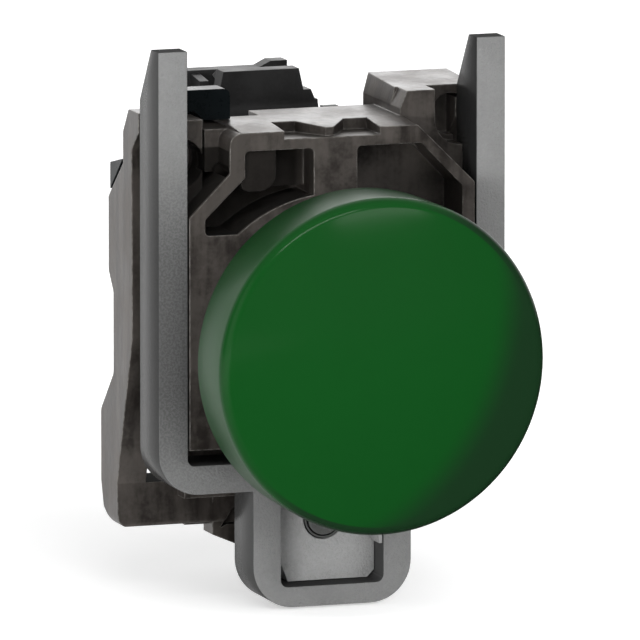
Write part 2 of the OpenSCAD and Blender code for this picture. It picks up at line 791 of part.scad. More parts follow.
// Side view of the peg, just above the slope of the frame's wall
module peg_side() {
    polygon([
        [back(peg_front), peg_z[0] + peg_gap], [back(peg_back), peg_z[1] + 2 * peg_gap],
        [back(peg_back), peg_top[1]], [back(peg_front), peg_top[0] + 2 * peg_gap]
    ]);
}
module lock_ring() {
    lever_right = lever_left + lever_w;
    color([0.05, 0.055, 0.06]) {
        turned_y([
            [ring_in_r, ring_y0], [ring_out_r, ring_y0], [ring_out_r, sector_y1], [ring_in_r, sector_y1]
        ]);
        for (i = [0 : lug_count - 1]) {
            rotate([0, 90 + i * 360 / lug_count - lug_angle / 2, 0]) rotate([-90, 0, 0])
                translate([0, 0, ring_y0]) rotate_extrude(angle = lug_angle, $fn = 96)
                    translate([tooth_r, 0]) square([ring_in_r - tooth_r + bite, lug_t]);
        }
        along_y(sector_y0, sector_y1) {
            difference() {
                intersection() {
                    circle(sector_r);
                    polygon([
                        sector_right, sector_up, [-collar_half, sector_up[1]],
                        [-collar_half, sector_low[0]], [sector_foot, sector_low[1]]
                    ]);
                }
                circle(ring_in_r + pocket_r);
            }
            polygon([
                [lever_left + lever_cut, ring_r], [lever_right, ring_r],
                [lever_right, lever_low + lever_slab], [lever_left + lever_cut, lever_low + lever_slab]
            ]);
        }
        block_xyz([lever_left + 2, lever_right], [lever_y, sector_y1], [lever_low, lever_low + lever_slab]);
        along_y(lever_y, lever_y + lever_t) polygon(rounded([
            [lever_left, lever_top, edge_r], [lever_left, lever_low + lever_cut, 0],
            [lever_left + lever_toe[0], lever_low + lever_cut, 0], [lever_left + lever_toe[1], lever_low, 0],
            [lever_right, lever_low, 0], [lever_right, lever_top, 2 * edge_r]
        ]));
        along_x(-half_w, -peg_in) peg_side();
        intersection() {
            along_x(-peg_in - bite, bite - collar_half) peg_side();
            block_xyz([-half_w, 0], [sector_y0, sector_y1], [0, reach]);
        }
    }
}

// Light block: housing of one moulding, with a shelf and a wedge-shaped catch at its top front,
// a cross rib with a thumb stop behind it, and the cavity for the electrical parts
block_half = block_w / 2 - turn_gap;
cavity_half = block_half - block_wall;
seat_y = back(block_seat);
rear_top = 13.5;
flat_top = 15.5;
cavity_top = 12.3;
cavity_low = block_low - 2.5;
cavity_y = seat_y + block_wall;
shelf_z = 16.2;
shelf_r = 1.2;
catch_t = 1.7;
catch_low = 14.1;
shoulder_z = 18.25;
shoulder_x = 4.35;
catch_x = 3.3;
catch_spread = 0.4;
shoulder_low = 16.85;
hook_d = 1.3;
hook_drop = 0.65;
hook_h = 1.35;
rib_y0 = 26.4;
rib_y1 = 28;
stop_x = 3.5;
stop_ramp = 1;
stop_h = 0.5;
fin_y = 23.6;
fin_x0 = 2.8;
fin_x1 = 3.6;
fin_drop = 0.55;
slope_y = depth_behind - panel_t_max - 4.3;
slope_run = 1.2;
foot_t = 2;
foot_x0 = 3.35;
foot_x1 = 4.9;
foot_gap = 0.15;
finger_x = 3.6;
finger_y = 13.1;
finger_t = 0.7;
finger_top = 17.6;
module housing_side() {
    f = back(wedge_y);
    polygon([
        [seat_y, -block_low], [cover_y, -block_low], [cover_y, rear_top],
        [back(slope_y) + slope_run, rear_top],
        [back(slope_y), flat_top], [back(rib_y1), flat_top], [back(rib_y1), catch_low],
        [f + catch_t, catch_low], [f + catch_t, shelf_z + shelf_r], [f, shelf_z + shelf_r],
        [f, shelf_z], [seat_y, shelf_z]
    ]);
    translate([f, shelf_z]) rotate(90) spandrel(0, 0, 0, shelf_r);
}
module catch_outline() {
    polygon([
        [-block_half, catch_low], [block_half, catch_low], [block_half, shoulder_low],
        [shoulder_x, shoulder_z],
        [catch_x + catch_spread, shoulder_z], [catch_x, wedge_top], [-catch_x, wedge_top],
        [-catch_x - catch_spread, shoulder_z], [-shoulder_x, shoulder_z], [-block_half, shoulder_low]
    ]);
}
module housing_top() {
    along_y(back(wedge_y), back(wedge_y + catch_t)) catch_outline();
    along_x(-catch_x, catch_x) polygon([
        [back(wedge_y) + catch_t / 2, wedge_top], [back(wedge_y) + catch_t, wedge_top],
        [back(wedge_y) + catch_t + hook_d, wedge_top - hook_drop],
        [back(wedge_y) + catch_t / 2, wedge_top - hook_h]
    ]);
    along_y(back(rib_y0), back(rib_y1)) polygon([
        [-block_half, catch_low], [block_half, catch_low], [block_half, block_top + stop_h],
        [stop_x, block_top + stop_h], [stop_x - stop_ramp, block_top], [-block_half, block_top]
    ]);
    for (side = [0, 1]) mirror([side, 0, 0]) along_x(fin_x0, fin_x1) polygon([
        [back(fin_y), catch_low - bite], [back(rib_y0) + bite, catch_low - bite],
        [back(rib_y0) + bite, block_top - bite], [back(fin_y) + bite, block_top - fin_drop]
    ]);
}
// Tooth in the top bar's notch
tooth_x = notch_x - turn_gap;
tooth_y0 = back(notch_y[0]) + turn_gap;
tooth_y1 = back(notch_y[1]) - turn_gap;
module block_housing() {
    color([0.15, 0.15, 0.15]) {
        difference() {
            union() {
                along_x(-block_half, block_half) housing_side();
                housing_top();
            }
            block_xyz([-cavity_half, cavity_half], [cavity_y, cover_y + 1], [-cavity_low, cavity_top]);
            rod_y(guide_r + slide_gap, seat_y - 1, cavity_y + 1);
            for (side = [0, 1]) mirror([side, 0, 0]) {
                translate([wire_x, wire_y, cavity_top - 1])
                    cylinder(r = wire_r, h = flat_top - cavity_top + 2);
                translate([wire_x, wire_y, -block_low - 1])
                    cylinder(r = wire_r, h = block_low - cavity_low + 2);
            }
        }
        for (side = [0, 1]) mirror([side, 0, 0])
            block_xyz([foot_x0, foot_x1], [seat_y + foot_gap, seat_y + foot_t],
                [-frame_low + 1, -block_low + bite]);
        block_xyz([-tooth_x, tooth_x], [tooth_y0, seat_y + bite], [bar_top + turn_gap, shelf_z]);
        block_xyz([-tooth_x, tooth_x], [tooth_y0, tooth_y1], [bar_top - notch_d + turn_gap, shelf_z]);
        block_xyz([finger_x, block_half], [back(finger_y), seat_y + bite], [bar_top + slide_gap, shelf_z]);
        block_xyz([finger_x, block_half], [back(finger_y), back(finger_y) + finger_t],
            [bar_top + slide_gap, finger_top]);
    }
}
module block_cover() {
    color([0.13, 0.13, 0.13]) difference() {
        block_xyz([-block_half, block_half], [cover_y + bite / 10, depth_behind], [-block_low, rear_top]);
        for (z = [term_top, -term_low]) rod_y(term_head_d / 2 + 0.3, cover_y - 1, depth_behind + 1, 0, z);
    }
}

// Lamp: light guide in the housing's front, source behind it, on the edge of the circuit board
guide_tip = back(4);
guide_wall = 0.55;
guide_dome = 2.2;
guide_flange_r = guide_r + 0.75;
guide_flange_t = 0.8;
guide_y1 = cavity_y + turn_gap + guide_flange_t;
dome_steps = 6;
led_r = led_d / 2;
led_y1 = guide_y1 + 0.6;
led_len = 6;
board_in = 11.5;
board_y0 = led_y1 + bite / 10;
board_y1 = depth_behind - board_in;
board_top = cavity_top - turn_gap;
board_low = cavity_low - turn_gap;
module light_guide() {
    color([0.86, 0.88, 0.90]) difference() {
        turned_y(concat(
            [
                for (i = [0 : dome_steps])
                    let (a = 90 * i / dome_steps)
                    [guide_r * sin(a), guide_tip + guide_dome * (1 - cos(a))]
            ],
            [
                [guide_r, cavity_y + turn_gap], [guide_flange_r, cavity_y + turn_gap],
                [guide_flange_r, guide_y1], [0, guide_y1]
            ]
        ));
        rod_y(guide_r - guide_wall, led_y1 - led_len - 0.6, guide_y1 + 1);
    }
}
module led() {
    color([0.85, 0.93, 0.86]) turned_y(concat(
        [
            for (i = [0 : dome_steps])
                let (a = 90 * i / dome_steps)
                [led_r * sin(a), led_y1 - led_len + led_r * (1 - cos(a))]
        ],
        [[led_r, led_y1], [0, led_y1]]
    ));
}
module circuit_board() {
    color([0.10, 0.35, 0.18])
        block_xyz([-board_t / 2, board_t / 2], [board_y0, board_y1], [-board_low, board_top]);
}
// Parts that stand on the board: a rectifier on one side, resistor and capacitor on the other
part_x = board_t / 2 + 0.02;
part_y = back(20);
rectifier_z = 2.5;
leg_in = 0.4;
rectifier_h = 2.2;
rectifier_l = 4.6;
leg_h = 0.5;
leg_w = 0.7;
module rectifier() {
    color([0.08, 0.08, 0.08]) {
        translate([0, part_y, rectifier_z]) {
            block_xyz([part_x + leg_h, part_x + leg_h + rectifier_h], [0, rectifier_l], [0, rectifier_l]);
            for (y = [0, rectifier_l - leg_w], z = [leg_in, rectifier_l - leg_w - leg_in])
                block_xyz([part_x, part_x + leg_h + bite], [y, y + leg_w], [z, z + leg_w]);
        }
    }
}
resistor_r = 1.1;
resistor_l = 6.2;
resistor_z = -7.4;
resistor_gap = 0.2;
round_part_y = part_y + 0.4;
lead_r = 0.3;
lead_turn_r = 0.24;
lead_l = 0.7;
module resistor() {
    x = -part_x - resistor_r - resistor_gap;
    color([0.80, 0.74, 0.60]) translate([x, round_part_y, resistor_z]) {
        cylinder(r = resistor_r, h = resistor_l);
        translate([0, 0, -lead_l]) cylinder(r = lead_r, h = resistor_l + 2 * lead_l);
        for (dz = [-lead_l / 2, resistor_l + lead_l / 2])
            translate([0, 0, dz]) rotate([0, 90, 0]) cylinder(r = lead_turn_r, h = resistor_r + resistor_gap);
    }
}
capacitor_r = 1.5;
capacitor_l = 5.4;
capacitor_z = 1.6;
module capacitor() {
    x = -part_x - capacitor_r;
    color([0.16, 0.24, 0.42]) translate([x, round_part_y, capacitor_z]) {
        cylinder(r = capacitor_r, h = capacitor_l);
        translate([0, 0, -lead_l]) cylinder(r = lead_r, h = lead_l + bite);
        translate([0, 0, -lead_l / 2]) rotate([0, 90, 0]) cylinder(r = lead_turn_r, h = capacitor_r);
    }
}

// Terminals: a strip that the screw threads through, and a clamp plate that the screw carries along
strip_t = 0.8;
strip_in = 8.9;
strip_y = depth_behind - strip_in;
strip_half = cavity_half - turn_gap;
term_h = 2.3;
clamp_t = 0.8;
clamp_y = strip_y + strip_t + wire_gap;
wire_y = clamp_y - wire_gap / 2;
clamp_half = cavity_half - slide_gap;
term_travel = wire_gap - 0.4;
term_screw_r = term_screw_d / 2;
term_head_h = 1.6;
term_tip = strip_y - 0.4;
term_bevel = 0.4;
term_slot_half = 0.35;
term_slot_l = 1.3;
term_slot_d = 0.9;
tail_y = back(23.5);
tail_h = 0.7;
module terminal_strip() {
    difference() {
        block_xyz([-strip_half, strip_half], [strip_y, strip_y + strip_t], [-term_h, term_h]);
        rod_y(term_screw_r + turn_gap, strip_y - 1, strip_y + strip_t + 1);
    }
    block_xyz([part_x, part_x + tail_h], [tail_y, strip_y + bite], [-term_h, tail_h - term_h]);
}
module terminal_clamp() {
    difference() {
        block_xyz([-clamp_half, clamp_half], [clamp_y, clamp_y + clamp_t], [-term_h, term_h]);
        rod_y(term_screw_r + turn_gap, clamp_y - 1, clamp_y + clamp_t + 1);
    }
}
module terminal_screw() {
    head_y = clamp_y + clamp_t + turn_gap;
    end_y = head_y + term_head_h;
    difference() {
        turned_y([
            [0, term_tip], [term_screw_r - tip_bevel, term_tip], [term_screw_r, term_tip + tip_bevel],
            [term_screw_r, head_y], [term_head_d / 2, head_y], [term_head_d / 2, end_y - term_bevel],
            [term_head_d / 2 - term_bevel, end_y], [0, end_y]
        ]);
        for (a = [0, 90]) rotate([0, a, 0])
            block_xyz([-term_slot_half, term_slot_half], [end_y - term_slot_d, end_y + bite],
                [-term_slot_l, term_slot_l]);
    }
}
module terminal_strip_top() {
    color([0.78, 0.62, 0.30]) translate([0, 0, term_top]) terminal_strip();
}
module terminal_strip_bottom() {
    color([0.78, 0.62, 0.30]) translate([0, 0, -term_low]) terminal_strip();
}
module terminal_clamp_top() {
    color([0.66, 0.66, 0.64]) translate([0, 0, term_top]) terminal_clamp();
}
module terminal_clamp_bottom() {
    color([0.66, 0.66, 0.64]) translate([0, 0, -term_low]) terminal_clamp();
}
module terminal_screw_top() {
    color([0.70, 0.70, 0.68]) translate([0, 0, term_top]) terminal_screw();
}
module terminal_screw_bottom() {
    color([0.70, 0.70, 0.68]) translate([0, 0, -term_low]) terminal_screw();
}

lens();
lens_seal();
diffuser();
head_body();
panel_gasket();
collar_body();
lock_ring();
stirrup();
clamp_plate();
clamp_screw();
block_housing();
block_cover();
circuit_board();
led();
light_guide();
rectifier();
resistor();
capacitor();
terminal_strip_top();
terminal_strip_bottom();
terminal_clamp_top();
terminal_clamp_bottom();
terminal_screw_top();
terminal_screw_bottom();
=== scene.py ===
"""Looks of a round panel pilot light: lens, fixing collar, stirrup, lock ring and light block."""

import math

import bpy
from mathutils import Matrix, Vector


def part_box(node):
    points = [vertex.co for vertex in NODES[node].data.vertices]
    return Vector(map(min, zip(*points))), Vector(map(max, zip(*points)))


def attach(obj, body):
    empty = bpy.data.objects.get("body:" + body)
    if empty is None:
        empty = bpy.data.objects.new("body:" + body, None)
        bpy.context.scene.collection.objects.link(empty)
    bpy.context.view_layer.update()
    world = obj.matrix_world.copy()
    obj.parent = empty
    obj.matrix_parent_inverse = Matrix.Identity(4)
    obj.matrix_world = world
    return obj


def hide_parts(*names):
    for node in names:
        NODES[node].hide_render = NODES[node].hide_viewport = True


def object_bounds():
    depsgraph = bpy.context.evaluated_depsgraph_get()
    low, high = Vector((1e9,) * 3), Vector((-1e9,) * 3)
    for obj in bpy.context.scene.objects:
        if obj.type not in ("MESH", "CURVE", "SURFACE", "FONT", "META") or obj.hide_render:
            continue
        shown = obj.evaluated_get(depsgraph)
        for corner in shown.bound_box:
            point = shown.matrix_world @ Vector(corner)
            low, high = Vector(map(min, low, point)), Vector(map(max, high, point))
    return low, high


bl_info = {
    "name": "Panel pilot light",
    "version": (1, 0, 0),
    "blender": (4, 5, 0),
    "location": "3D View > Sidebar > Pilot light",
    "description": "Builds the looks of a round panel pilot light around its packed solids",
    "category": "Object",
}

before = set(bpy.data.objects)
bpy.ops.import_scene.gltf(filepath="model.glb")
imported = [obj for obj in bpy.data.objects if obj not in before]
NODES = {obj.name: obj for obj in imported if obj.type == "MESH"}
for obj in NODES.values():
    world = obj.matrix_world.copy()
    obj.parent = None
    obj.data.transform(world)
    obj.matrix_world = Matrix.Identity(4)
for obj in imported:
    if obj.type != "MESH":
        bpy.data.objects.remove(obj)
CAD_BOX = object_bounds()
MM = 0.001

# Strength of the white surroundings for diffuse rays: everywhere, from the front and from both sides
AMBIENT = 0.22
FRONT_LIGHT = 4.0
SIDE_LIGHT = 0.35
# Strength of the surroundings in mirror images: in front, beside on the left and overhead
FRONT_ROOM = 0.05
LEFT_ROOM = 1.2
CEILING = 0.5
# The floor in mirror images: the slanting fade to its pale rear part, and its colour in front of that
FLOOR_REAR = (-20 * MM, 60 * MM)
FLOOR_SLANT = 1.2
FLOOR_DARK = (0.03, 0.03, 0.03)
# Side of the square floor in metres, and its own light where the camera or a mirror image sees it
FLOOR_SIZE = 6
FLOOR_GLOW = 0.5
# How far the lens is turned away where the painted shade on its rim, towards the right and below, starts and
# ends
RIM_SHADE_SLANT = (0.152, 0.198)
# Bends of more than this many degrees are rounded on the metal parts
EDGE_ANGLE = 32
# Steps of the lens's outline over its rim, and from there to the middle of its face
RIM_STEPS = 16
DOME_STEPS = 20
# Name, size in metres, power and place of each lamp, and whether it shows in mirror images
LAMPS = (
    ("key lamp", (0.9, 0.1), 4.2, (-0.2, -0.95, 1.0), True),
    ("glow lamp", (0.6, 0.2), 1.7, (0.446, -1.25, 0.72), True),
    ("fill lamp", (0.5, 0.1), 9.4, (-0.75, -0.85, 0.04), False),
    ("back lamp", (1.2, 0.5), 5.0, (0.1, 1.3, 0.5), True),
)
LAMP_AIM = (0, 10 * MM, 0)
# The camera's sensor in millimetres, and the width in pixels of a picture
SENSOR_WIDTH = 36
PICTURE_WIDTH = 640

LENS_LOW, LENS_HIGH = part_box("lens")
SCREW_LOW, SCREW_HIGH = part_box("clamp_screw")


# Sizes and colours


class PilotLensSettings(bpy.types.PropertyGroup):
    """Shape and colour of the lens."""

    side_radius: bpy.props.FloatProperty(
        name="Crease radius", description="Largest radius of the lens, at its front crease",
        default=13.95 * MM, unit="LENGTH")
    back_radius: bpy.props.FloatProperty(
        name="Back radius", description="Radius of the lens at its back rim",
        default=13.85 * MM, unit="LENGTH")
    side_length: bpy.props.FloatProperty(
        name="Side length", description="From the back rim to the crease",
        default=5.7 * MM, unit="LENGTH")
    rim_radius: bpy.props.FloatProperty(
        name="Rim radius", description="Radius of the rounded front rim",
        default=1.2 * MM, unit="LENGTH")
    colour: bpy.props.FloatVectorProperty(
        name="Lens colour", description="Colour of the lens moulding", subtype="COLOR",
        size=3, min=0, max=1, default=(0.0034, 0.043, 0.0066))
    # Painted shade: the darker colour of the lens's slanting rim towards the right and below
    rim_shade_colour: bpy.props.FloatVectorProperty(
        name="Rim colour", description="Duller colour where the lens is seen at a slant", subtype="COLOR",
        size=3, min=0, max=1, default=(0.0058, 0.0215, 0.0078))
    # Painted light: the lighter colour of the lens's slanting side towards the left and above
    lit_side_colour: bpy.props.FloatVectorProperty(
        name="Side colour", description="Colour of the side wall", subtype="COLOR",
        size=3, min=0, max=1, default=(0.0095, 0.05, 0.0135))


class PilotMetalSettings(bpy.types.PropertyGroup):
    """Colours of the metal parts."""

    cast_light: bpy.props.FloatVectorProperty(
        name="Casting, light", description="Lighter patches of the cast collar", subtype="COLOR",
        size=3, min=0, max=1, default=(0.078, 0.069, 0.062))
    cast_dark: bpy.props.FloatVectorProperty(
        name="Casting, dark", description="Darker patches of the cast collar", subtype="COLOR",
        size=3, min=0, max=1, default=(0.026, 0.022, 0.0195))
    sheet: bpy.props.FloatVectorProperty(
        name="Stirrup", description="Colour of the stirrup's sheet metal", subtype="COLOR",
        size=3, min=0, max=1, default=(0.150, 0.151, 0.150))
    plated: bpy.props.FloatVectorProperty(
        name="Plating", description="Colour of the plated screws and plates", subtype="COLOR",
        size=3, min=0, max=1, default=(0.42, 0.43, 0.42))
    brass: bpy.props.FloatVectorProperty(
        name="Brass", description="Colour of the terminal strips", subtype="COLOR",
        size=3, min=0, max=1, default=(0.60, 0.42, 0.16))
    edge_width: bpy.props.FloatProperty(
        name="Edge rounding", description="Width of the rounding on the metal parts' edges",
        default=0.07 * MM, unit="LENGTH")


class PilotPlasticSettings(bpy.types.PropertyGroup):
    """Colours of the plastic and rubber parts."""

    block: bpy.props.FloatVectorProperty(
        name="Block", description="Colour of the light block's mouldings", subtype="COLOR",
        size=3, min=0, max=1, default=(0.0145, 0.0145, 0.0145))
    ring: bpy.props.FloatVectorProperty(
        name="Lock ring", description="Colour of the lock ring", subtype="COLOR",
        size=3, min=0, max=1, default=(0.003, 0.0045, 0.00525))
    rubber: bpy.props.FloatVectorProperty(
        name="Rubber", description="Colour of the gasket and seal", subtype="COLOR",
        size=3, min=0, max=1, default=(0.012, 0.012, 0.012))


class PilotStageSettings(bpy.types.PropertyGroup):
    """Camera, floor and lamps."""

    azimuth: bpy.props.FloatProperty(
        name="Azimuth", description="Turn of the camera towards -X", default=math.radians(18.7),
        subtype="ANGLE")
    elevation: bpy.props.FloatProperty(
        name="Elevation", description="Height of the camera above the horizon",
        default=math.radians(9.35), subtype="ANGLE")
    distance: bpy.props.FloatProperty(
        name="Distance", description="From the camera to its target", default=1.28, unit="LENGTH")
    target: bpy.props.FloatVectorProperty(
        name="Target", description="Point that the camera looks at", subtype="TRANSLATION",
        size=3, default=(-1.079 * MM, 6.0 * MM, 1.945 * MM))
    pixels_per_metre: bpy.props.FloatProperty(
        name="Scale", description="Pixels of a 640 pixel picture for each metre at the target",
        default=12180)
    light_from: bpy.props.FloatVectorProperty(
        name="Light from", description="Direction of the broad, soft front light", subtype="DIRECTION",
        size=3, default=(0.12, -0.93, 0.14))
    floor_drop: bpy.props.FloatProperty(
        name="Floor gap", description="Gap between the part and the floor",
        default=0.2 * MM, unit="LENGTH")
    floor_colour: bpy.props.FloatVectorProperty(
        name="Floor colour", description="Colour of the floor", subtype="COLOR",
        size=3, min=0, max=1, default=(0.86, 0.86, 0.86))


# Small tools for modelling


def clear_selection():
    """Nothing is selected or active, and the mode is object mode."""
    if bpy.context.object and bpy.context.object.mode != "OBJECT":
        bpy.ops.object.mode_set(mode="OBJECT")
    bpy.ops.object.select_all(action="DESELECT")
    bpy.context.view_layer.objects.active = None


def make_active(piece):
    """Selects one piece alone."""
    clear_selection()
    piece.select_set(True)
    bpy.context.view_layer.objects.active = piece


def settle(piece, name):
    """Names a finished piece and moves its place into its mesh."""
    make_active(piece)
    bpy.ops.object.transform_apply(location=True, rotation=True, scale=True)
    piece.name = piece.data.name = name


def add_modifier(piece, kind, **values):
    """Adds one modifier with its values and applies it."""
    make_active(piece)
    modifier = piece.modifiers.new(kind.title(), kind)
    for key, value in values.items():
        setattr(modifier, key, value)
    bpy.ops.object.modifier_apply(modifier=modifier.name)


def smooth(piece, angle):
    """Shades a piece smooth, with hard edges where it bends by more than an angle in degrees."""
    make_active(piece)
    bpy.ops.object.shade_smooth_by_angle(angle=math.radians(angle))


def turned(name, profile, centre=(0, 0), steps=96):
    """Spins a profile of (radius, y) points round an axis along Y, through centre (x, z)."""
    clear_selection()
    first = (centre[0] + profile[0][0], profile[0][1], centre[1])
    bpy.ops.mesh.primitive_plane_add(size=MM, location=(0, 0, 0))
    piece = bpy.context.object
    bpy.ops.object.mode_set(mode="EDIT")
    bpy.ops.mesh.select_all(action="SELECT")
    bpy.ops.mesh.merge(type="CENTER")
    bpy.ops.transform.translate(value=first)
    for (r0, y0), (r1, y1) in zip(profile, profile[1:]):
        bpy.ops.mesh.extrude_region_move(TRANSFORM_OT_translate={"value": (r1 - r0, y1 - y0, 0)})
    bpy.ops.mesh.select_all(action="SELECT")
    bpy.ops.mesh.spin(steps=steps, angle=math.tau, center=(centre[0], 0, centre[1]), axis=(0, 1, 0))
    bpy.ops.mesh.select_all(action="SELECT")
    bpy.ops.mesh.remove_doubles(threshold=2e-6)
    bpy.ops.mesh.normals_make_consistent(inside=False)
    bpy.ops.object.mode_set(mode="OBJECT")
    settle(piece, name)
    return piece


def softened(node, name, width):
    """A copy of a CAD node with its doubles merged and its edges rounded."""
    piece = bpy.data.objects.new(name, NODES[node].data.copy())
    bpy.context.scene.collection.objects.link(piece)
    piece.data.materials.clear()
    make_active(piece)
    bpy.ops.object.mode_set(mode="EDIT")
    bpy.ops.mesh.select_all(action="SELECT")
    bpy.ops.mesh.remove_doubles(threshold=4e-6)
    bpy.ops.mesh.dissolve_limited(angle_limit=math.radians(0.6))
    bpy.ops.object.mode_set(mode="OBJECT")
    add_modifier(
        piece, "BEVEL", width=width, segments=2, limit_method="ANGLE",
        angle_limit=math.radians(EDGE_ANGLE), use_clamp_overlap=True, miter_outer="MITER_ARC",
        harden_normals=False)
    smooth(piece, EDGE_ANGLE)
    piece.name = piece.data.name = name
    return piece


def place(piece, body, slot, material, *nodes):
    """Gives a finished piece its material, its body and the nodes that it stands for; slot is not used."""
    piece.data.materials.clear()
    piece.data.materials.append(material)
    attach(piece, body)
    if nodes:
        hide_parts(*nodes)


def dress(material, *names):
    """Gives CAD nodes their material."""
    for name in names:
        NODES[name].data.materials.clear()
        NODES[name].data.materials.append(material)


# Node groups that several materials share


def new_group(name, inputs, outputs):
    """An empty node group, with the nodes that hold its inputs and outputs."""
    group = bpy.data.node_groups.new(name, "ShaderNodeTree")
    for label, kind, default in inputs:
        socket = group.interface.new_socket(label, in_out="INPUT", socket_type=kind)
        socket.default_value = default
    for label, kind in outputs:
        group.interface.new_socket(label, in_out="OUTPUT", socket_type=kind)
    return group, group.nodes.new("NodeGroupInput"), group.nodes.new("NodeGroupOutput")


def link(tree, a, b):
    """Leads output a to input b."""
    tree.links.new(a, b)


def maths(tree, operation, a, b=None):
    """A Math node; a and b are sockets or numbers."""
    node = tree.nodes.new("ShaderNodeMath")
    node.operation = operation
    for socket, value in zip(node.inputs, (a, b)):
        if isinstance(value, bpy.types.NodeSocket):
            link(tree, value, socket)
        elif value is not None:
            socket.default_value = value
    return node.outputs[0]


def times(tree, a, b):
    """a multiplied by b."""
    return maths(tree, "MULTIPLY", a, b)


def opposite(tree, mask):
    """1 where a mask is 0, and 0 where it is 1."""
    return maths(tree, "SUBTRACT", 1.0, mask)


def split_xyz(tree, kind, label):
    """The outputs X, Y and Z of a vector that a new node of this kind gives."""
    source = tree.nodes.new(kind)
    split = tree.nodes.new("ShaderNodeSeparateXYZ")
    link(tree, source.outputs[label], split.inputs["Vector"])
    return split.outputs


def place_xyz(tree):
    """The place of a point, in the frame's own axes."""
    return split_xyz(tree, "ShaderNodeTexCoord", "Object")


def normal_xyz(tree):
    """The direction that the surface faces."""
    return split_xyz(tree, "ShaderNodeNewGeometry", "Normal")


def tint(colour, factor):
    """A constant colour, lighter or darker by a factor."""
    return tuple(factor * c for c in colour)


def mix_colour(tree, factor, a, b):
    """A Mix node for colours; each value is a socket or a constant."""
    node = tree.nodes.new("ShaderNodeMix")
    node.data_type = "RGBA"
    for socket, value in ((node.inputs[0], factor), (node.inputs[6], a), (node.inputs[7], b)):
        if isinstance(value, bpy.types.NodeSocket):
            link(tree, value, socket)
        else:
            socket.default_value = (*value, 1) if isinstance(value, tuple) else value
    return node.outputs[2]


def object_noise(tree, scale, detail=3.0, stretch=(1, 1, 1)):
    """Noise on Object coordinates; scale is a socket, in waves per metre."""
    place_node = tree.nodes.new("ShaderNodeTexCoord")
    mapping = tree.nodes.new("ShaderNodeMapping")
    mapping.inputs["Scale"].default_value = stretch
    noise = tree.nodes.new("ShaderNodeTexNoise")
    noise.inputs["Detail"].default_value = detail
    noise.inputs["Roughness"].default_value = 0.55
    link(tree, place_node.outputs["Object"], mapping.inputs["Vector"])
    link(tree, mapping.outputs["Vector"], noise.inputs["Vector"])
    link(tree, scale, noise.inputs["Scale"])
    return noise.outputs["Fac"]


def stepped(tree, value, low, high):
    """0 below low and 1 above high."""
    node = tree.nodes.new("ShaderNodeMapRange")
    node.interpolation_type = "SMOOTHSTEP"
    link(tree, value, node.inputs["Value"])
    node.inputs["From Min"].default_value = low
    node.inputs["From Max"].default_value = high
    return node.outputs["Result"]


def mottle_group():
    """Cloudy patches of two colours, with fine specks in them."""
    group, given, out = new_group(
        "Mottle",
        [("Light", "NodeSocketColor", (0.5, 0.5, 0.5, 1)), ("Dark", "NodeSocketColor", (0.1, 0.1, 0.1, 1)),
         ("Patch Scale", "NodeSocketFloat", 300.0), ("Speck Scale", "NodeSocketFloat", 3000.0)],
        [("Color", "NodeSocketColor"), ("Mask", "NodeSocketFloat")])
    patch = object_noise(group, given.outputs["Patch Scale"], 4.0)
    speck = object_noise(group, given.outputs["Speck Scale"], 2.0)
    mask = stepped(group, maths(group, "ADD", times(group, patch, 0.75),
                                times(group, speck, 0.25)), 0.36, 0.64)
    link(group, mix_colour(group, mask, given.outputs["Dark"], given.outputs["Light"]), out.inputs["Color"])
    link(group, mask, out.inputs["Mask"])
    return group


def streak_group():
    """Smeared streaks that run upwards."""
    group, given, out = new_group(
        "Streaks", [("Scale", "NodeSocketFloat", 500.0)], [("Upright", "NodeSocketFloat")])
    value = object_noise(group, given.outputs["Scale"], 3.0, (1, 1, 0.12))
    link(group, stepped(group, value, 0.38, 0.66), out.inputs["Upright"])
    return group


def edge_highlight_group():
    """A mask of the edges, broken up by noise, where a painted highlight lightens them."""
    group, given, out = new_group(
        "Edge Highlight", [("Width", "NodeSocketFloat", 0.0003), ("Noise Scale", "NodeSocketFloat", 1500.0)],
        [("Mask", "NodeSocketFloat"), ("Normal", "NodeSocketVector")])
    bevel = group.nodes.new("ShaderNodeBevel")
    bevel.samples = 6
    link(group, given.outputs["Width"], bevel.inputs["Radius"])
    surface = group.nodes.new("ShaderNodeNewGeometry")
    dot = group.nodes.new("ShaderNodeVectorMath")
    dot.operation = "DOT_PRODUCT"
    link(group, bevel.outputs["Normal"], dot.inputs[0])
    link(group, surface.outputs["Normal"], dot.inputs[1])
    bend = stepped(group, opposite(group, dot.outputs["Value"]), 0.01, 0.22)
    broken = stepped(group, object_noise(group, given.outputs["Noise Scale"], 3.0), 0.34, 0.62)
    link(group, times(group, bend, broken), out.inputs["Mask"])
    link(group, bevel.outputs["Normal"], out.inputs["Normal"])
    return group


def relief_group():
    """Height of a fine, slightly hammered skin."""
    group, given, out = new_group(
        "Fine Relief", [("Scale", "NodeSocketFloat", 2500.0), ("Grain Scale", "NodeSocketFloat", 9000.0)],
        [("Height", "NodeSocketFloat")])
    dents = object_noise(group, given.outputs["Scale"], 2.0)
    grain = object_noise(group, given.outputs["Grain Scale"], 2.0)
    link(group, maths(group, "ADD", times(group, dents, 0.7),
                      times(group, grain, 0.3)), out.inputs["Height"])
    return group


def recess_shade_group():
    """A mask of corners and recesses, where painted shade darkens the colour."""
    group, given, out = new_group(
        "Recess Shade", [("Reach", "NodeSocketFloat", 0.003)], [("Mask", "NodeSocketFloat")])
    hidden = group.nodes.new("ShaderNodeAmbientOcclusion")
    hidden.samples = 8
    hidden.only_local = True
    link(group, given.outputs["Reach"], hidden.inputs["Distance"])
    buried = opposite(group, hidden.outputs["AO"])
    link(group, stepped(group, buried, 0.15, 0.6), out.inputs["Mask"])
    return group


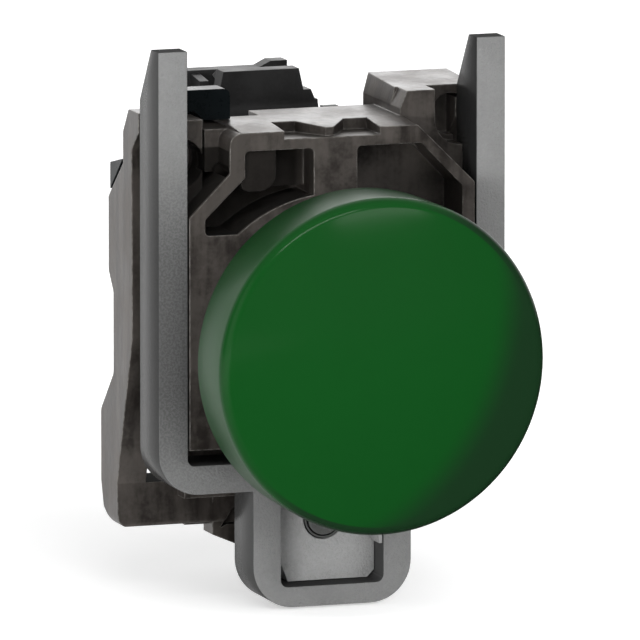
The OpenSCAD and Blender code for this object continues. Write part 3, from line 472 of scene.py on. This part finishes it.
def mid_shade_group():
    """A soft band at one height of the part, on its left side, where shade is painted."""
    group, given, out = new_group(
        "Mid Shade Band", [("Centre", "NodeSocketFloat", 0.0), ("Half Height", "NodeSocketFloat", 0.01)],
        [("Mask", "NodeSocketFloat")])
    where = place_xyz(group)
    away = maths(group, "ABSOLUTE", maths(group, "SUBTRACT", where["Z"], given.outputs["Centre"]))
    band = stepped(group, maths(group, "SUBTRACT", given.outputs["Half Height"], away), 0.0, 12 * MM)
    left = stepped(group, where["X"], 4 * MM, -4 * MM)
    link(group, times(group, band, left), out.inputs["Mask"])
    return group


def facing_masks_group():
    """Masks of the faces that look sideways, up or down, of those that look up, and of inner sides."""
    group, given, out = new_group(
        "Facing Masks", [("Inside", "NodeSocketFloat", 0.004)],
        [("Mask", "NodeSocketFloat"), ("Top", "NodeSocketFloat"), ("Inward", "NodeSocketFloat")])
    facing = normal_xyz(group)
    flat = stepped(group, maths(group, "ABSOLUTE", facing["Y"]), 0.2, 0.75)
    link(group, opposite(group, flat), out.inputs["Mask"])
    link(group, stepped(group, facing["Z"], 0.3, 0.8), out.inputs["Top"])
    outward = times(group, facing["X"], place_xyz(group)["X"])
    inward = maths(group, "SUBTRACT", times(group, outward, -1.0), given.outputs["Inside"])
    link(group, stepped(group, inward, 0.0, 4 * MM), out.inputs["Inward"])
    return group


def pocket_shade_group():
    """A mask of the faces in the collar's left front pocket, and of its low faces that look up, where shade
    is painted.
    """
    group, given, out = new_group(
        "Pocket Shade", [("Depth", "NodeSocketFloat", 0.0)], [("Mask", "NodeSocketFloat")])
    where, facing = place_xyz(group), normal_xyz(group)
    depth = maths(group, "SUBTRACT", where["Y"], given.outputs["Depth"])
    deep = stepped(group, depth, 0.1 * MM, 0.4 * MM)
    shallow = opposite(group, stepped(group, where["Y"], 11.5 * MM, 12 * MM))
    high = stepped(group, where["Z"], 4 * MM, 7 * MM)
    low = opposite(group, stepped(group, where["Z"], 16.2 * MM, 16.4 * MM))
    left = opposite(group, stepped(group, where["X"], -2.5 * MM, -1.5 * MM))
    inside = times(group, times(group, deep, shallow), times(group, high, low))
    upward = stepped(group, facing["Z"], 0.6, 0.8)
    below = opposite(group, stepped(group, where["Z"], -9 * MM, -8 * MM))
    link(group, maths(group, "MAXIMUM", times(group, inside, left), times(group, upward, below)),
         out.inputs["Mask"])
    return group


GROUP_MAKERS = {
    "Mottle": mottle_group, "Streaks": streak_group, "Edge Highlight": edge_highlight_group, "Fine Relief": relief_group,
    "Recess Shade": recess_shade_group, "Mid Shade Band": mid_shade_group, "Pocket Shade": pocket_shade_group, "Facing Masks": facing_masks_group,
}
GROUPS = {}


def set_inputs(node, values):
    """Writes constants to a node's sockets; _ in a name stands for a space."""
    for label, value in values.items():
        constant = (*value, 1) if isinstance(value, tuple) else value
        node.inputs[label.replace("_", " ")].default_value = constant


def use_group(tree, name, **values):
    """Places a shared node group in a material, built once."""
    if name not in GROUPS:
        GROUPS[name] = GROUP_MAKERS[name]()
    node = tree.nodes.new("ShaderNodeGroup")
    node.node_tree = GROUPS[name]
    set_inputs(node, values)
    return node


def new_material(name, **values):
    """A material with one Principled shader; values are its plain sockets."""
    material = bpy.data.materials.new(name)
    material.use_nodes = True
    shader = material.node_tree.nodes["Principled BSDF"]
    set_inputs(shader, values)
    return material, material.node_tree, shader


def bumped(tree, shader, height, distance, strength, normal=None):
    """Feeds a height to the shader as relief, on top of a normal if there is one."""
    bump = tree.nodes.new("ShaderNodeBump")
    bump.inputs["Strength"].default_value = strength
    bump.inputs["Distance"].default_value = distance
    link(tree, height, bump.inputs["Height"])
    if normal is not None:
        link(tree, normal, bump.inputs["Normal"])
    link(tree, bump.outputs["Normal"], shader.inputs["Normal"])


def tinted(tree, amount, mask, colour, towards):
    """A colour moved by a part of a mask towards another one."""
    return mix_colour(tree, times(tree, mask, amount), colour, towards)


def span(tree, mask, low, high):
    """A value between low and high by a mask."""
    node = tree.nodes.new("ShaderNodeMapRange")
    link(tree, mask, node.inputs["Value"])
    node.inputs["To Min"].default_value = low
    node.inputs["To Max"].default_value = high
    return node.outputs["Result"]


# Materials


def cast_metal(settings):
    """Dark, satin casting with smeared light streaks, painted highlights along its edges and painted shade
    in its recesses and pocket.
    """
    material, tree, shader = new_material("cast collar metal", Metallic=0.55)
    mottle = use_group(tree, "Mottle", Light=tuple(settings.cast_light), Dark=tuple(settings.cast_dark),
                       Patch_Scale=260.0, Speck_Scale=2600.0)
    streaks = use_group(tree, "Streaks", Scale=900.0)
    edge = use_group(tree, "Edge Highlight", Width=0.18 * MM, Noise_Scale=1800.0)
    relief = use_group(tree, "Fine Relief", Scale=1400.0, Grain_Scale=7000.0)
    recess_shade = use_group(tree, "Recess Shade", Reach=6 * MM)
    pocket = use_group(tree, "Pocket Shade", Depth=6 * MM)
    colour = tinted(tree, 0.25, streaks.outputs["Upright"], mottle.outputs["Color"],
                    tint(settings.cast_light, 2.2))
    # Painted highlight: pale colour along the edges
    colour = tinted(tree, 0.75, edge.outputs["Mask"], colour, (0.30, 0.29, 0.27))
    # Painted shade: corners and recesses of the casting are darkened
    colour = tinted(tree, 0.3, recess_shade.outputs["Mask"], colour, (0.012, 0.010, 0.009))
    # Painted shade: the left front pocket and the low faces that look up are darkened almost to black
    colour = tinted(tree, 0.85, pocket.outputs["Mask"], colour, (0.006, 0.005, 0.004))
    link(tree, colour, shader.inputs["Base Color"])
    rough = maths(tree, "MAXIMUM", span(tree, mottle.outputs["Mask"], 0.32, 0.46), pocket.outputs["Mask"])
    link(tree, rough, shader.inputs["Roughness"])
    bumped(tree, shader, relief.outputs["Height"], 0.05 * MM, 0.5, edge.outputs["Normal"])
    return material


def sheet_metal(name, colour, rough=0.3, edge_highlight_colour=(0.5, 0.5, 0.49), metallic=0.0, level=0.05,
                mid_shade=0.0, side_shade=0.0):
    """Satin steel with a fine hammered skin, painted shade in that skin and painted highlights along its
    edges.

    mid_shade paints shade at mid height on the left and deepens the painted shade of the skin there;
    side_shade paints shade on the faces that look sideways, up or down, and more on inner sides."""
    material, tree, shader = new_material(name, Metallic=metallic, Specular_IOR_Level=level)
    mottle = use_group(tree, "Mottle", Light=tint(colour, 1.06), Dark=tint(colour, 0.93),
                       Patch_Scale=170.0, Speck_Scale=2200.0)
    edge = use_group(tree, "Edge Highlight", Width=0.1 * MM, Noise_Scale=1200.0)
    relief = use_group(tree, "Fine Relief", Scale=5000.0, Grain_Scale=11000.0)
    faces = use_group(tree, "Facing Masks")
    recess_shade = use_group(tree, "Recess Shade", Reach=1.2 * MM)
    shade = mottle.outputs["Color"]
    dents = stepped(tree, relief.outputs["Height"], 0.44, 0.56)
    if mid_shade:
        middle = use_group(tree, "Mid Shade Band", Centre=2 * MM, Half_Height=16.5 * MM)
        # Painted shade: a darker band at mid height on the left
        shade = tinted(tree, mid_shade, middle.outputs["Mask"], shade, tint(colour, 0.4))
        dents = times(tree, dents, span(tree, middle.outputs["Mask"], 0.05, 0.55))
    else:
        dents = times(tree, dents, 0.08)
    # Painted shade in the hammered skin: darker where the relief's height is large
    shade = mix_colour(tree, dents, shade, tint(colour, 0.3))
    # Painted shade on the faces that look sideways, up or down
    shade = tinted(tree, side_shade, faces.outputs["Mask"], shade, tint(colour, 0.1))
    # Painted shade on inner sides that face the middle
    shade = tinted(tree, side_shade, faces.outputs["Inward"], shade, tint(colour, 0.03))
    # Painted highlight: lighter colour along the edges
    shade = tinted(tree, 0.3, edge.outputs["Mask"], shade, edge_highlight_colour)
    # Painted shade: corners and recesses are darkened
    shade = tinted(tree, 0.8, recess_shade.outputs["Mask"], shade, (0.008, 0.008, 0.008))
    link(tree, shade, shader.inputs["Base Color"])
    if side_shade:
        roughness = span(tree, faces.outputs["Top"], rough, 0.9)
    else:
        roughness = span(tree, mottle.outputs["Mask"], rough - 0.05, rough + 0.08)
    link(tree, roughness, shader.inputs["Roughness"])
    height = times(tree, relief.outputs["Height"], span(tree, faces.outputs["Mask"], 1.0, 0.1))
    bumped(tree, shader, height, 0.14 * MM, 0.9, edge.outputs["Normal"])
    return material


def lens_plastic(settings):
    """Deep green gloss moulding, with painted shade on its slanting rim towards the right and below, and
    painted light on its slanting side towards the left and above.
    """
    material, tree, shader = new_material("green lens plastic", Specular_IOR_Level=0.12)
    relief = use_group(tree, "Fine Relief", Scale=500.0, Grain_Scale=2500.0)
    mottle = use_group(tree, "Mottle", Light=tuple(settings.colour), Dark=tint(settings.colour, 0.97),
                       Patch_Scale=90.0, Speck_Scale=900.0)
    slant = tree.nodes.new("ShaderNodeLayerWeight")
    slant.inputs["Blend"].default_value = 0.5
    facing = normal_xyz(tree)
    lean = maths(tree, "SUBTRACT", facing["X"], times(tree, facing["Z"], 0.6))
    right = stepped(tree, lean, -0.3, 0.05)
    # Painted shade on the slanting rim towards the right and below
    rim = times(tree, stepped(tree, slant.outputs["Facing"], *RIM_SHADE_SLANT), right)
    # Painted light on the slanting side towards the left and above
    side = times(tree, stepped(tree, slant.outputs["Facing"], 0.25, 0.5), opposite(tree, right))
    colour = mix_colour(tree, rim, mottle.outputs["Color"], tuple(settings.rim_shade_colour))
    link(tree, mix_colour(tree, side, colour, tuple(settings.lit_side_colour)), shader.inputs["Base Color"])
    front = stepped(tree, maths(tree, "ABSOLUTE", facing["Y"]), 0.05, 0.4)
    link(tree, span(tree, front, 0.4, 0.15), shader.inputs["Roughness"])
    bumped(tree, shader, relief.outputs["Height"], 0.02 * MM, 0.06)
    return material


def black_plastic(name, colour, rough=0.42, level=0.09):
    """Satin black moulding with a fine grain, and edges made slightly greyer as a painted highlight."""
    material, tree, shader = new_material(name, Specular_IOR_Level=level)
    mottle = use_group(tree, "Mottle", Light=tint(colour, 1.2), Dark=tint(colour, 0.8),
                       Patch_Scale=350.0, Speck_Scale=4000.0)
    edge = use_group(tree, "Edge Highlight", Width=0.1 * MM, Noise_Scale=900.0)
    relief = use_group(tree, "Fine Relief", Scale=5000.0, Grain_Scale=14000.0)
    # Painted highlight: a greyer colour along the edges
    highlight_grey = tuple(2.5 * c + 0.02 for c in colour)
    link(tree, tinted(tree, 0.25, edge.outputs["Mask"], mottle.outputs["Color"], highlight_grey),
         shader.inputs["Base Color"])
    roughness = span(tree, mottle.outputs["Mask"], rough - 0.04, rough + 0.06)
    link(tree, roughness, shader.inputs["Roughness"])
    bumped(tree, shader, relief.outputs["Height"], 0.02 * MM, 0.06, edge.outputs["Normal"])
    return material


def clear_plastic(name, colour, weight=0.7):
    """Clear or milky moulding."""
    material, tree, shader = new_material(name, Transmission_Weight=weight, IOR=1.49)
    mottle = use_group(tree, "Mottle", Light=colour, Dark=tint(colour, 0.92),
                       Patch_Scale=200.0, Speck_Scale=1500.0)
    link(tree, mottle.outputs["Color"], shader.inputs["Base Color"])
    link(tree, span(tree, mottle.outputs["Mask"], 0.12, 0.2), shader.inputs["Roughness"])
    return material


# Pieces


def lens_profile(lens):
    """Outline of the lens from the middle of its inside, over the back rim, to the middle of its face."""
    back, front = LENS_HIGH.y, LENS_LOW.y
    crease = back - lens.side_length
    rim = lens.rim_radius
    face_r = lens.side_radius - rim
    crown = crease - rim - front
    slope = math.atan(2 * crown / face_r)
    # The back rim, softened by a fine edge
    points = [(lens.back_radius - 0.25 * MM, back), (lens.back_radius - 0.06 * MM, back - 0.04 * MM),
              (lens.back_radius, back - 0.2 * MM)]
    for i in range(RIM_STEPS + 1):
        turn = (math.pi / 2 - slope) * i / RIM_STEPS
        points.append((face_r + rim * math.cos(turn), crease - rim * math.sin(turn)))
    dome_r, dome_y = points[-1]
    for i in range(1, DOME_STEPS):
        r = dome_r * (1 - i / DOME_STEPS)
        points.append((r, front + (dome_y - front) * (r / dome_r) ** 2))
    points.append((0.0, front))
    wall = 1.6 * MM
    bore = lens.back_radius - wall
    inside = [(bore, back), (bore, crease - rim + wall), (bore / 2, front + wall + 0.25 * (dome_y - front)),
              (0.0, front + wall)]
    return inside[::-1] + points


class PILOT_OT_lens(bpy.types.Operator):
    """Turns the lens with its rounded rim and crowned face"""

    bl_idname = "pilot.lens"
    bl_label = "Lens"

    def execute(self, context):
        lens = context.scene.pilot_lens
        piece = turned("lens_cap", lens_profile(lens), steps=128)
        smooth(piece, 30)
        place(piece, "collar", "lens_green", lens_plastic(lens), "lens")
        return {"FINISHED"}


class PILOT_OT_metalwork(bpy.types.Operator):
    """Finishes the cast collar, the stirrup with its plate, and the head"""

    bl_idname = "pilot.metalwork"
    bl_label = "Metalwork"

    def execute(self, context):
        metal = context.scene.pilot_metal
        # The stirrup's colour holds painted shade at mid height on the left and on its sideways faces
        place(softened("stirrup", "stirrup_bent", metal.edge_width), "stirrup", "stirrup_metal",
              sheet_metal("stirrup steel", tuple(metal.sheet), rough=0.24, mid_shade=0.8, side_shade=0.75), "stirrup")
        place(softened("clamp_plate", "clamp_plate_worn", 0.6 * metal.edge_width), "stirrup", "plate_metal",
              sheet_metal("clamp plate steel", tint(metal.sheet, 1.6), rough=0.3), "clamp_plate")
        dress(cast_metal(metal), "collar_body")
        dress(sheet_metal("head metal", tuple(metal.plated), rough=0.3, metallic=0.6), "head_body")
        return {"FINISHED"}


def threaded(y0, y1, radius, pitch, depth):
    """Outline of a screw thread from y0 to y1, as (radius, y) points."""
    points = []
    count = max(1, int((y1 - y0) / pitch))
    step = (y1 - y0) / count
    for i in range(count):
        y = y0 + i * step
        points += [(radius - depth, y), (radius, y + 0.42 * step), (radius, y + 0.55 * step)]
    return points + [(radius - depth, y1)]


def cross_slot(piece, centre, end, half_width, length, depth):
    """Cuts a cross slot into a screw's head, whose end lies at y = end."""
    x, z = centre
    for turn in (0, math.pi / 2):
        clear_selection()
        bpy.ops.mesh.primitive_cube_add(size=1, location=(x, end, z), rotation=(0, turn, 0))
        cutter = bpy.context.object
        cutter.scale = (2 * half_width, 2 * depth, 2 * length)
        bpy.ops.object.transform_apply(location=True, rotation=True, scale=True)
        add_modifier(piece, "BOOLEAN", object=cutter, operation="DIFFERENCE", solver="EXACT")
        make_active(cutter)
        bpy.ops.object.delete()


def round_screw(name, node, outline, slot):
    """A turned screw about its CAD node's axis, with a cross slot and softened edges."""
    low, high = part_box(node)
    centre = ((low.x + high.x) / 2, (low.z + high.z) / 2)
    piece = turned(name, outline, centre, steps=48)
    cross_slot(piece, centre, high.y, *slot)
    add_modifier(piece, "BEVEL", width=0.05 * MM, segments=1, limit_method="ANGLE",
                 angle_limit=math.radians(50))
    smooth(piece, 40)
    return piece


class PILOT_OT_screws(bpy.types.Operator):
    """Turns the clamp screw and the terminal screws, and finishes clamps and strips"""

    bl_idname = "pilot.screws"
    bl_label = "Screws and terminals"

    def execute(self, context):
        metal = context.scene.pilot_metal
        plated = sheet_metal("plated steel", tuple(metal.plated), rough=0.28, metallic=0.9)
        start, end = SCREW_LOW.y, SCREW_HIGH.y
        head, shoulder = end - 2.4 * MM, start + 2.35 * MM
        disc_r, groove_r, tip_r = 1.38 * MM, 1.5 * MM, 1.64 * MM
        shoulder_r, thread_r, head_r = 2.2 * MM, 1.75 * MM, 2.8 * MM
        groove, lip, thread = start + 0.6 * MM, start + 0.1 * MM, shoulder + 0.7 * MM
        outline = [(0, start), (disc_r - 0.04 * MM, start), (disc_r, start + 0.04 * MM), (disc_r, groove),
                   (groove_r, groove), (groove_r, lip), (tip_r, lip), (tip_r, shoulder),
                   (shoulder_r, shoulder), (shoulder_r, thread)]
        outline += threaded(thread, head, thread_r, 0.6 * MM, 0.3 * MM)
        outline += [(head_r, head), (head_r, end - 0.5 * MM), (head_r - 0.5 * MM, end), (0, end)]
        piece = round_screw("clamp_screw_turned", "clamp_screw", outline, (0.45 * MM, 1.7 * MM, 1.3 * MM))
        place(piece, "clamp_screw", "screw_metal", plated, "clamp_screw")
        for side in ("top", "bottom"):
            low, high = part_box("terminal_screw_" + side)
            head = high.y - 1.6 * MM
            thread_r, head_r = 1.25 * MM, 1.9 * MM
            outline = [(0, low.y), (thread_r - 0.3 * MM, low.y)]
            outline += threaded(low.y + 0.3 * MM, head - 0.9 * MM, thread_r, 0.45 * MM, 0.2 * MM)
            outline += [(thread_r, head - 0.85 * MM), (thread_r, head), (head_r, head),
                        (head_r, high.y - 0.4 * MM), (head_r - 0.4 * MM, high.y), (0, high.y)]
            piece = round_screw("terminal_screw_turned_" + side, "terminal_screw_" + side, outline,
                                (0.35 * MM, 1.3 * MM, 0.9 * MM))
            place(piece, "screw_" + side, "screw_metal", plated, "terminal_screw_" + side)
        dress(plated, "terminal_clamp_top", "terminal_clamp_bottom")
        dress(sheet_metal("terminal brass", tuple(metal.brass), rough=0.3,
                          edge_highlight_colour=(0.9, 0.75, 0.4), metallic=1.0),
              "terminal_strip_top", "terminal_strip_bottom")
        return {"FINISHED"}


class PILOT_OT_plastics(bpy.types.Operator):
    """Finishes the lock ring, the light block's mouldings and the rubber parts"""

    bl_idname = "pilot.plastics"
    bl_label = "Plastics and rubber"

    def execute(self, context):
        plastic = context.scene.pilot_plastic
        dress(black_plastic("lock ring plastic", tuple(plastic.ring), rough=0.3, level=0.1), "lock_ring")
        dress(black_plastic("block plastic", tuple(plastic.block)), "block_housing", "block_cover")
        dress(black_plastic("rubber", tuple(plastic.rubber), rough=0.75, level=0.3),
              "panel_gasket", "lens_seal")
        return {"FINISHED"}


class PILOT_OT_lamp(bpy.types.Operator):
    """Finishes the lamp, its light guide and the parts on the circuit board"""

    bl_idname = "pilot.lamp"
    bl_label = "Lamp and board"

    def execute(self, context):
        dress(clear_plastic("light guide", (0.85, 0.88, 0.9), 0.9), "light_guide")
        dress(clear_plastic("lamp body", (0.8, 0.92, 0.8), 0.6), "led")
        dress(clear_plastic("diffuser", (0.88, 0.9, 0.88), 0.2), "diffuser")
        dress(black_plastic("board lacquer", (0.01, 0.09, 0.03), rough=0.3), "circuit_board")
        dress(black_plastic("moulded part", (0.01, 0.01, 0.01), rough=0.5), "rectifier")
        dress(black_plastic("resistor lacquer", (0.35, 0.26, 0.13), rough=0.4), "resistor")
        dress(black_plastic("capacitor lacquer", (0.02, 0.05, 0.18), rough=0.3), "capacitor")
        return {"FINISHED"}


def floor_material(colour):
    """Floor: plain and pale, keeps the part's shadow, and is a dark mirror image in front of the part."""
    material, tree, shader = new_material("floor", Roughness=0.9, Specular_IOR_Level=0.0)
    rays = tree.nodes.new("ShaderNodeLightPath")
    where = place_xyz(tree)
    rear = maths(tree, "SUBTRACT", where["Y"], times(tree, where["X"], FLOOR_SLANT))
    rear = stepped(tree, rear, *FLOOR_REAR)
    beside = times(tree, stepped(tree, where["X"], -60 * MM, -120 * MM),
                   stepped(tree, where["Y"], 60 * MM, 0.0))
    glossy = rays.outputs["Is Glossy Ray"]
    dim = times(tree, glossy, opposite(tree, rear))
    link(tree, mix_colour(tree, dim, colour, FLOOR_DARK), shader.inputs["Base Color"])
    seen = maths(tree, "MAXIMUM", times(tree, glossy, rear), rays.outputs["Is Transmission Ray"])
    seen = maths(tree, "MAXIMUM", rays.outputs["Is Camera Ray"], seen)
    strip = times(tree, times(tree, beside, glossy), LEFT_ROOM)
    seen = maths(tree, "ADD", seen, strip)
    shader.inputs["Emission Color"].default_value = (1, 1, 1, 1)
    link(tree, times(tree, seen, FLOOR_GLOW), shader.inputs["Emission Strength"])
    return material


def add_area(name, size, energy, place_at, mirrored):
    """A soft lamp that shines towards the part."""
    bpy.ops.object.light_add(type="AREA", location=place_at)
    lamp = bpy.context.object
    lamp.name = name
    lamp.data.shape = "RECTANGLE"
    lamp.data.size, lamp.data.size_y = size
    lamp.data.energy = energy
    lamp.visible_glossy = mirrored
    lamp.rotation_euler = (Vector(LAMP_AIM) - Vector(place_at)).to_track_quat("-Z", "Y").to_euler()


class PILOT_OT_stage(bpy.types.Operator):
    """Sets the floor, the background, the lamps and the camera"""

    bl_idname = "pilot.stage"
    bl_label = "Stage"

    def execute(self, context):
        stage = context.scene.pilot_stage
        clear_selection()
        bpy.ops.mesh.primitive_plane_add(size=FLOOR_SIZE, location=(0, 0, CAD_BOX[0].z - stage.floor_drop))
        floor = context.object
        settle(floor, "floor")
        floor.data.materials.append(floor_material(tuple(stage.floor_colour)))

        world = bpy.data.worlds.new("soft studio")
        context.scene.world = world
        world.use_nodes = True
        tree = world.node_tree
        back = tree.nodes["Background"]
        rays = tree.nodes.new("ShaderNodeLightPath")
        direction = tree.nodes.new("ShaderNodeTexCoord")
        split = tree.nodes.new("ShaderNodeSeparateXYZ")
        link(tree, direction.outputs["Generated"], split.inputs["Vector"])
        behind = stepped(tree, split.outputs["Y"], -0.1, 0.7)
        aim = tree.nodes.new("ShaderNodeVectorMath")
        aim.operation = "DOT_PRODUCT"
        link(tree, direction.outputs["Generated"], aim.inputs[0])
        aim.inputs[1].default_value = Vector(stage.light_from).normalized()
        lobe = stepped(tree, aim.outputs["Value"], 0.7, 0.97)
        soft = maths(tree, "ADD", AMBIENT, times(tree, lobe, FRONT_LIGHT))
        aside = stepped(tree, maths(tree, "ABSOLUTE", split.outputs["X"]), 0.3, 0.9)
        soft = maths(tree, "ADD", soft, times(tree, aside, SIDE_LIGHT))
        above = times(tree, stepped(tree, split.outputs["Z"], 0.35, 0.9), CEILING)
        room = maths(tree, "MAXIMUM", span(tree, behind, FRONT_ROOM, 1.0), above)
        beside = times(tree, stepped(tree, split.outputs["X"], -0.6, -0.9),
                       stepped(tree, split.outputs["Y"], 0.15, -0.15))
        room = maths(tree, "MAXIMUM", room, times(tree, beside, LEFT_ROOM))
        mirrored = maths(tree, "MAXIMUM", rays.outputs["Is Glossy Ray"], rays.outputs["Is Transmission Ray"])
        level = maths(tree, "ADD", times(tree, rays.outputs["Is Diffuse Ray"], soft),
                      times(tree, mirrored, room))
        level = maths(tree, "MAXIMUM", level, rays.outputs["Is Camera Ray"])
        back.inputs["Color"].default_value = (1, 1, 1, 1)
        link(tree, level, back.inputs["Strength"])

        for lamp in LAMPS:
            add_area(*lamp)

        a, e = stage.azimuth, stage.elevation
        away = Vector((-math.sin(a) * math.cos(e), -math.cos(a) * math.cos(e), math.sin(e)))
        target = Vector(stage.target)
        bpy.ops.object.camera_add(location=target + stage.distance * away,
                                  rotation=(-away).to_track_quat("-Z", "Y").to_euler())
        camera = context.object
        camera.data.sensor_width = SENSOR_WIDTH
        camera.data.lens = stage.pixels_per_metre * stage.distance * SENSOR_WIDTH / PICTURE_WIDTH
        camera.data.clip_end = 20
        context.scene.camera = camera
        context.scene.view_settings.view_transform = "Standard"
        return {"FINISHED"}


class PILOT_PT_panel(bpy.types.Panel):
    """Lists the pilot light's settings and steps"""

    bl_idname = "PILOT_PT_panel"
    bl_label = "Pilot light"
    bl_space_type = "VIEW_3D"
    bl_region_type = "UI"
    bl_category = "Pilot light"

    def draw(self, context):
        for name, _ in SETTINGS:
            group = getattr(context.scene, name)
            box = self.layout.box()
            for key in group.bl_rna.properties.keys():
                if key not in ("rna_type", "name"):
                    box.prop(group, key)
        for operator in OPERATORS:
            self.layout.operator(operator.bl_idname)


SETTINGS = (
    ("pilot_lens", PilotLensSettings),
    ("pilot_metal", PilotMetalSettings),
    ("pilot_plastic", PilotPlasticSettings),
    ("pilot_stage", PilotStageSettings),
)
OPERATORS = (PILOT_OT_lens, PILOT_OT_metalwork, PILOT_OT_screws, PILOT_OT_plastics, PILOT_OT_lamp,
             PILOT_OT_stage)


def register():
    for name, group in SETTINGS:
        bpy.utils.register_class(group)
        setattr(bpy.types.Scene, name, bpy.props.PointerProperty(type=group))
    for item in (*OPERATORS, PILOT_PT_panel):
        bpy.utils.register_class(item)


def unregister():
    for item in (PILOT_PT_panel, *reversed(OPERATORS)):
        bpy.utils.unregister_class(item)
    for name, group in reversed(SETTINGS):
        delattr(bpy.types.Scene, name)
        bpy.utils.unregister_class(group)


def main():
    register()
    bpy.ops.pilot.lens()
    bpy.ops.pilot.metalwork()
    bpy.ops.pilot.screws()
    bpy.ops.pilot.plastics()
    bpy.ops.pilot.lamp()
    bpy.ops.pilot.stage()


if __name__ == "__main__":
    main()
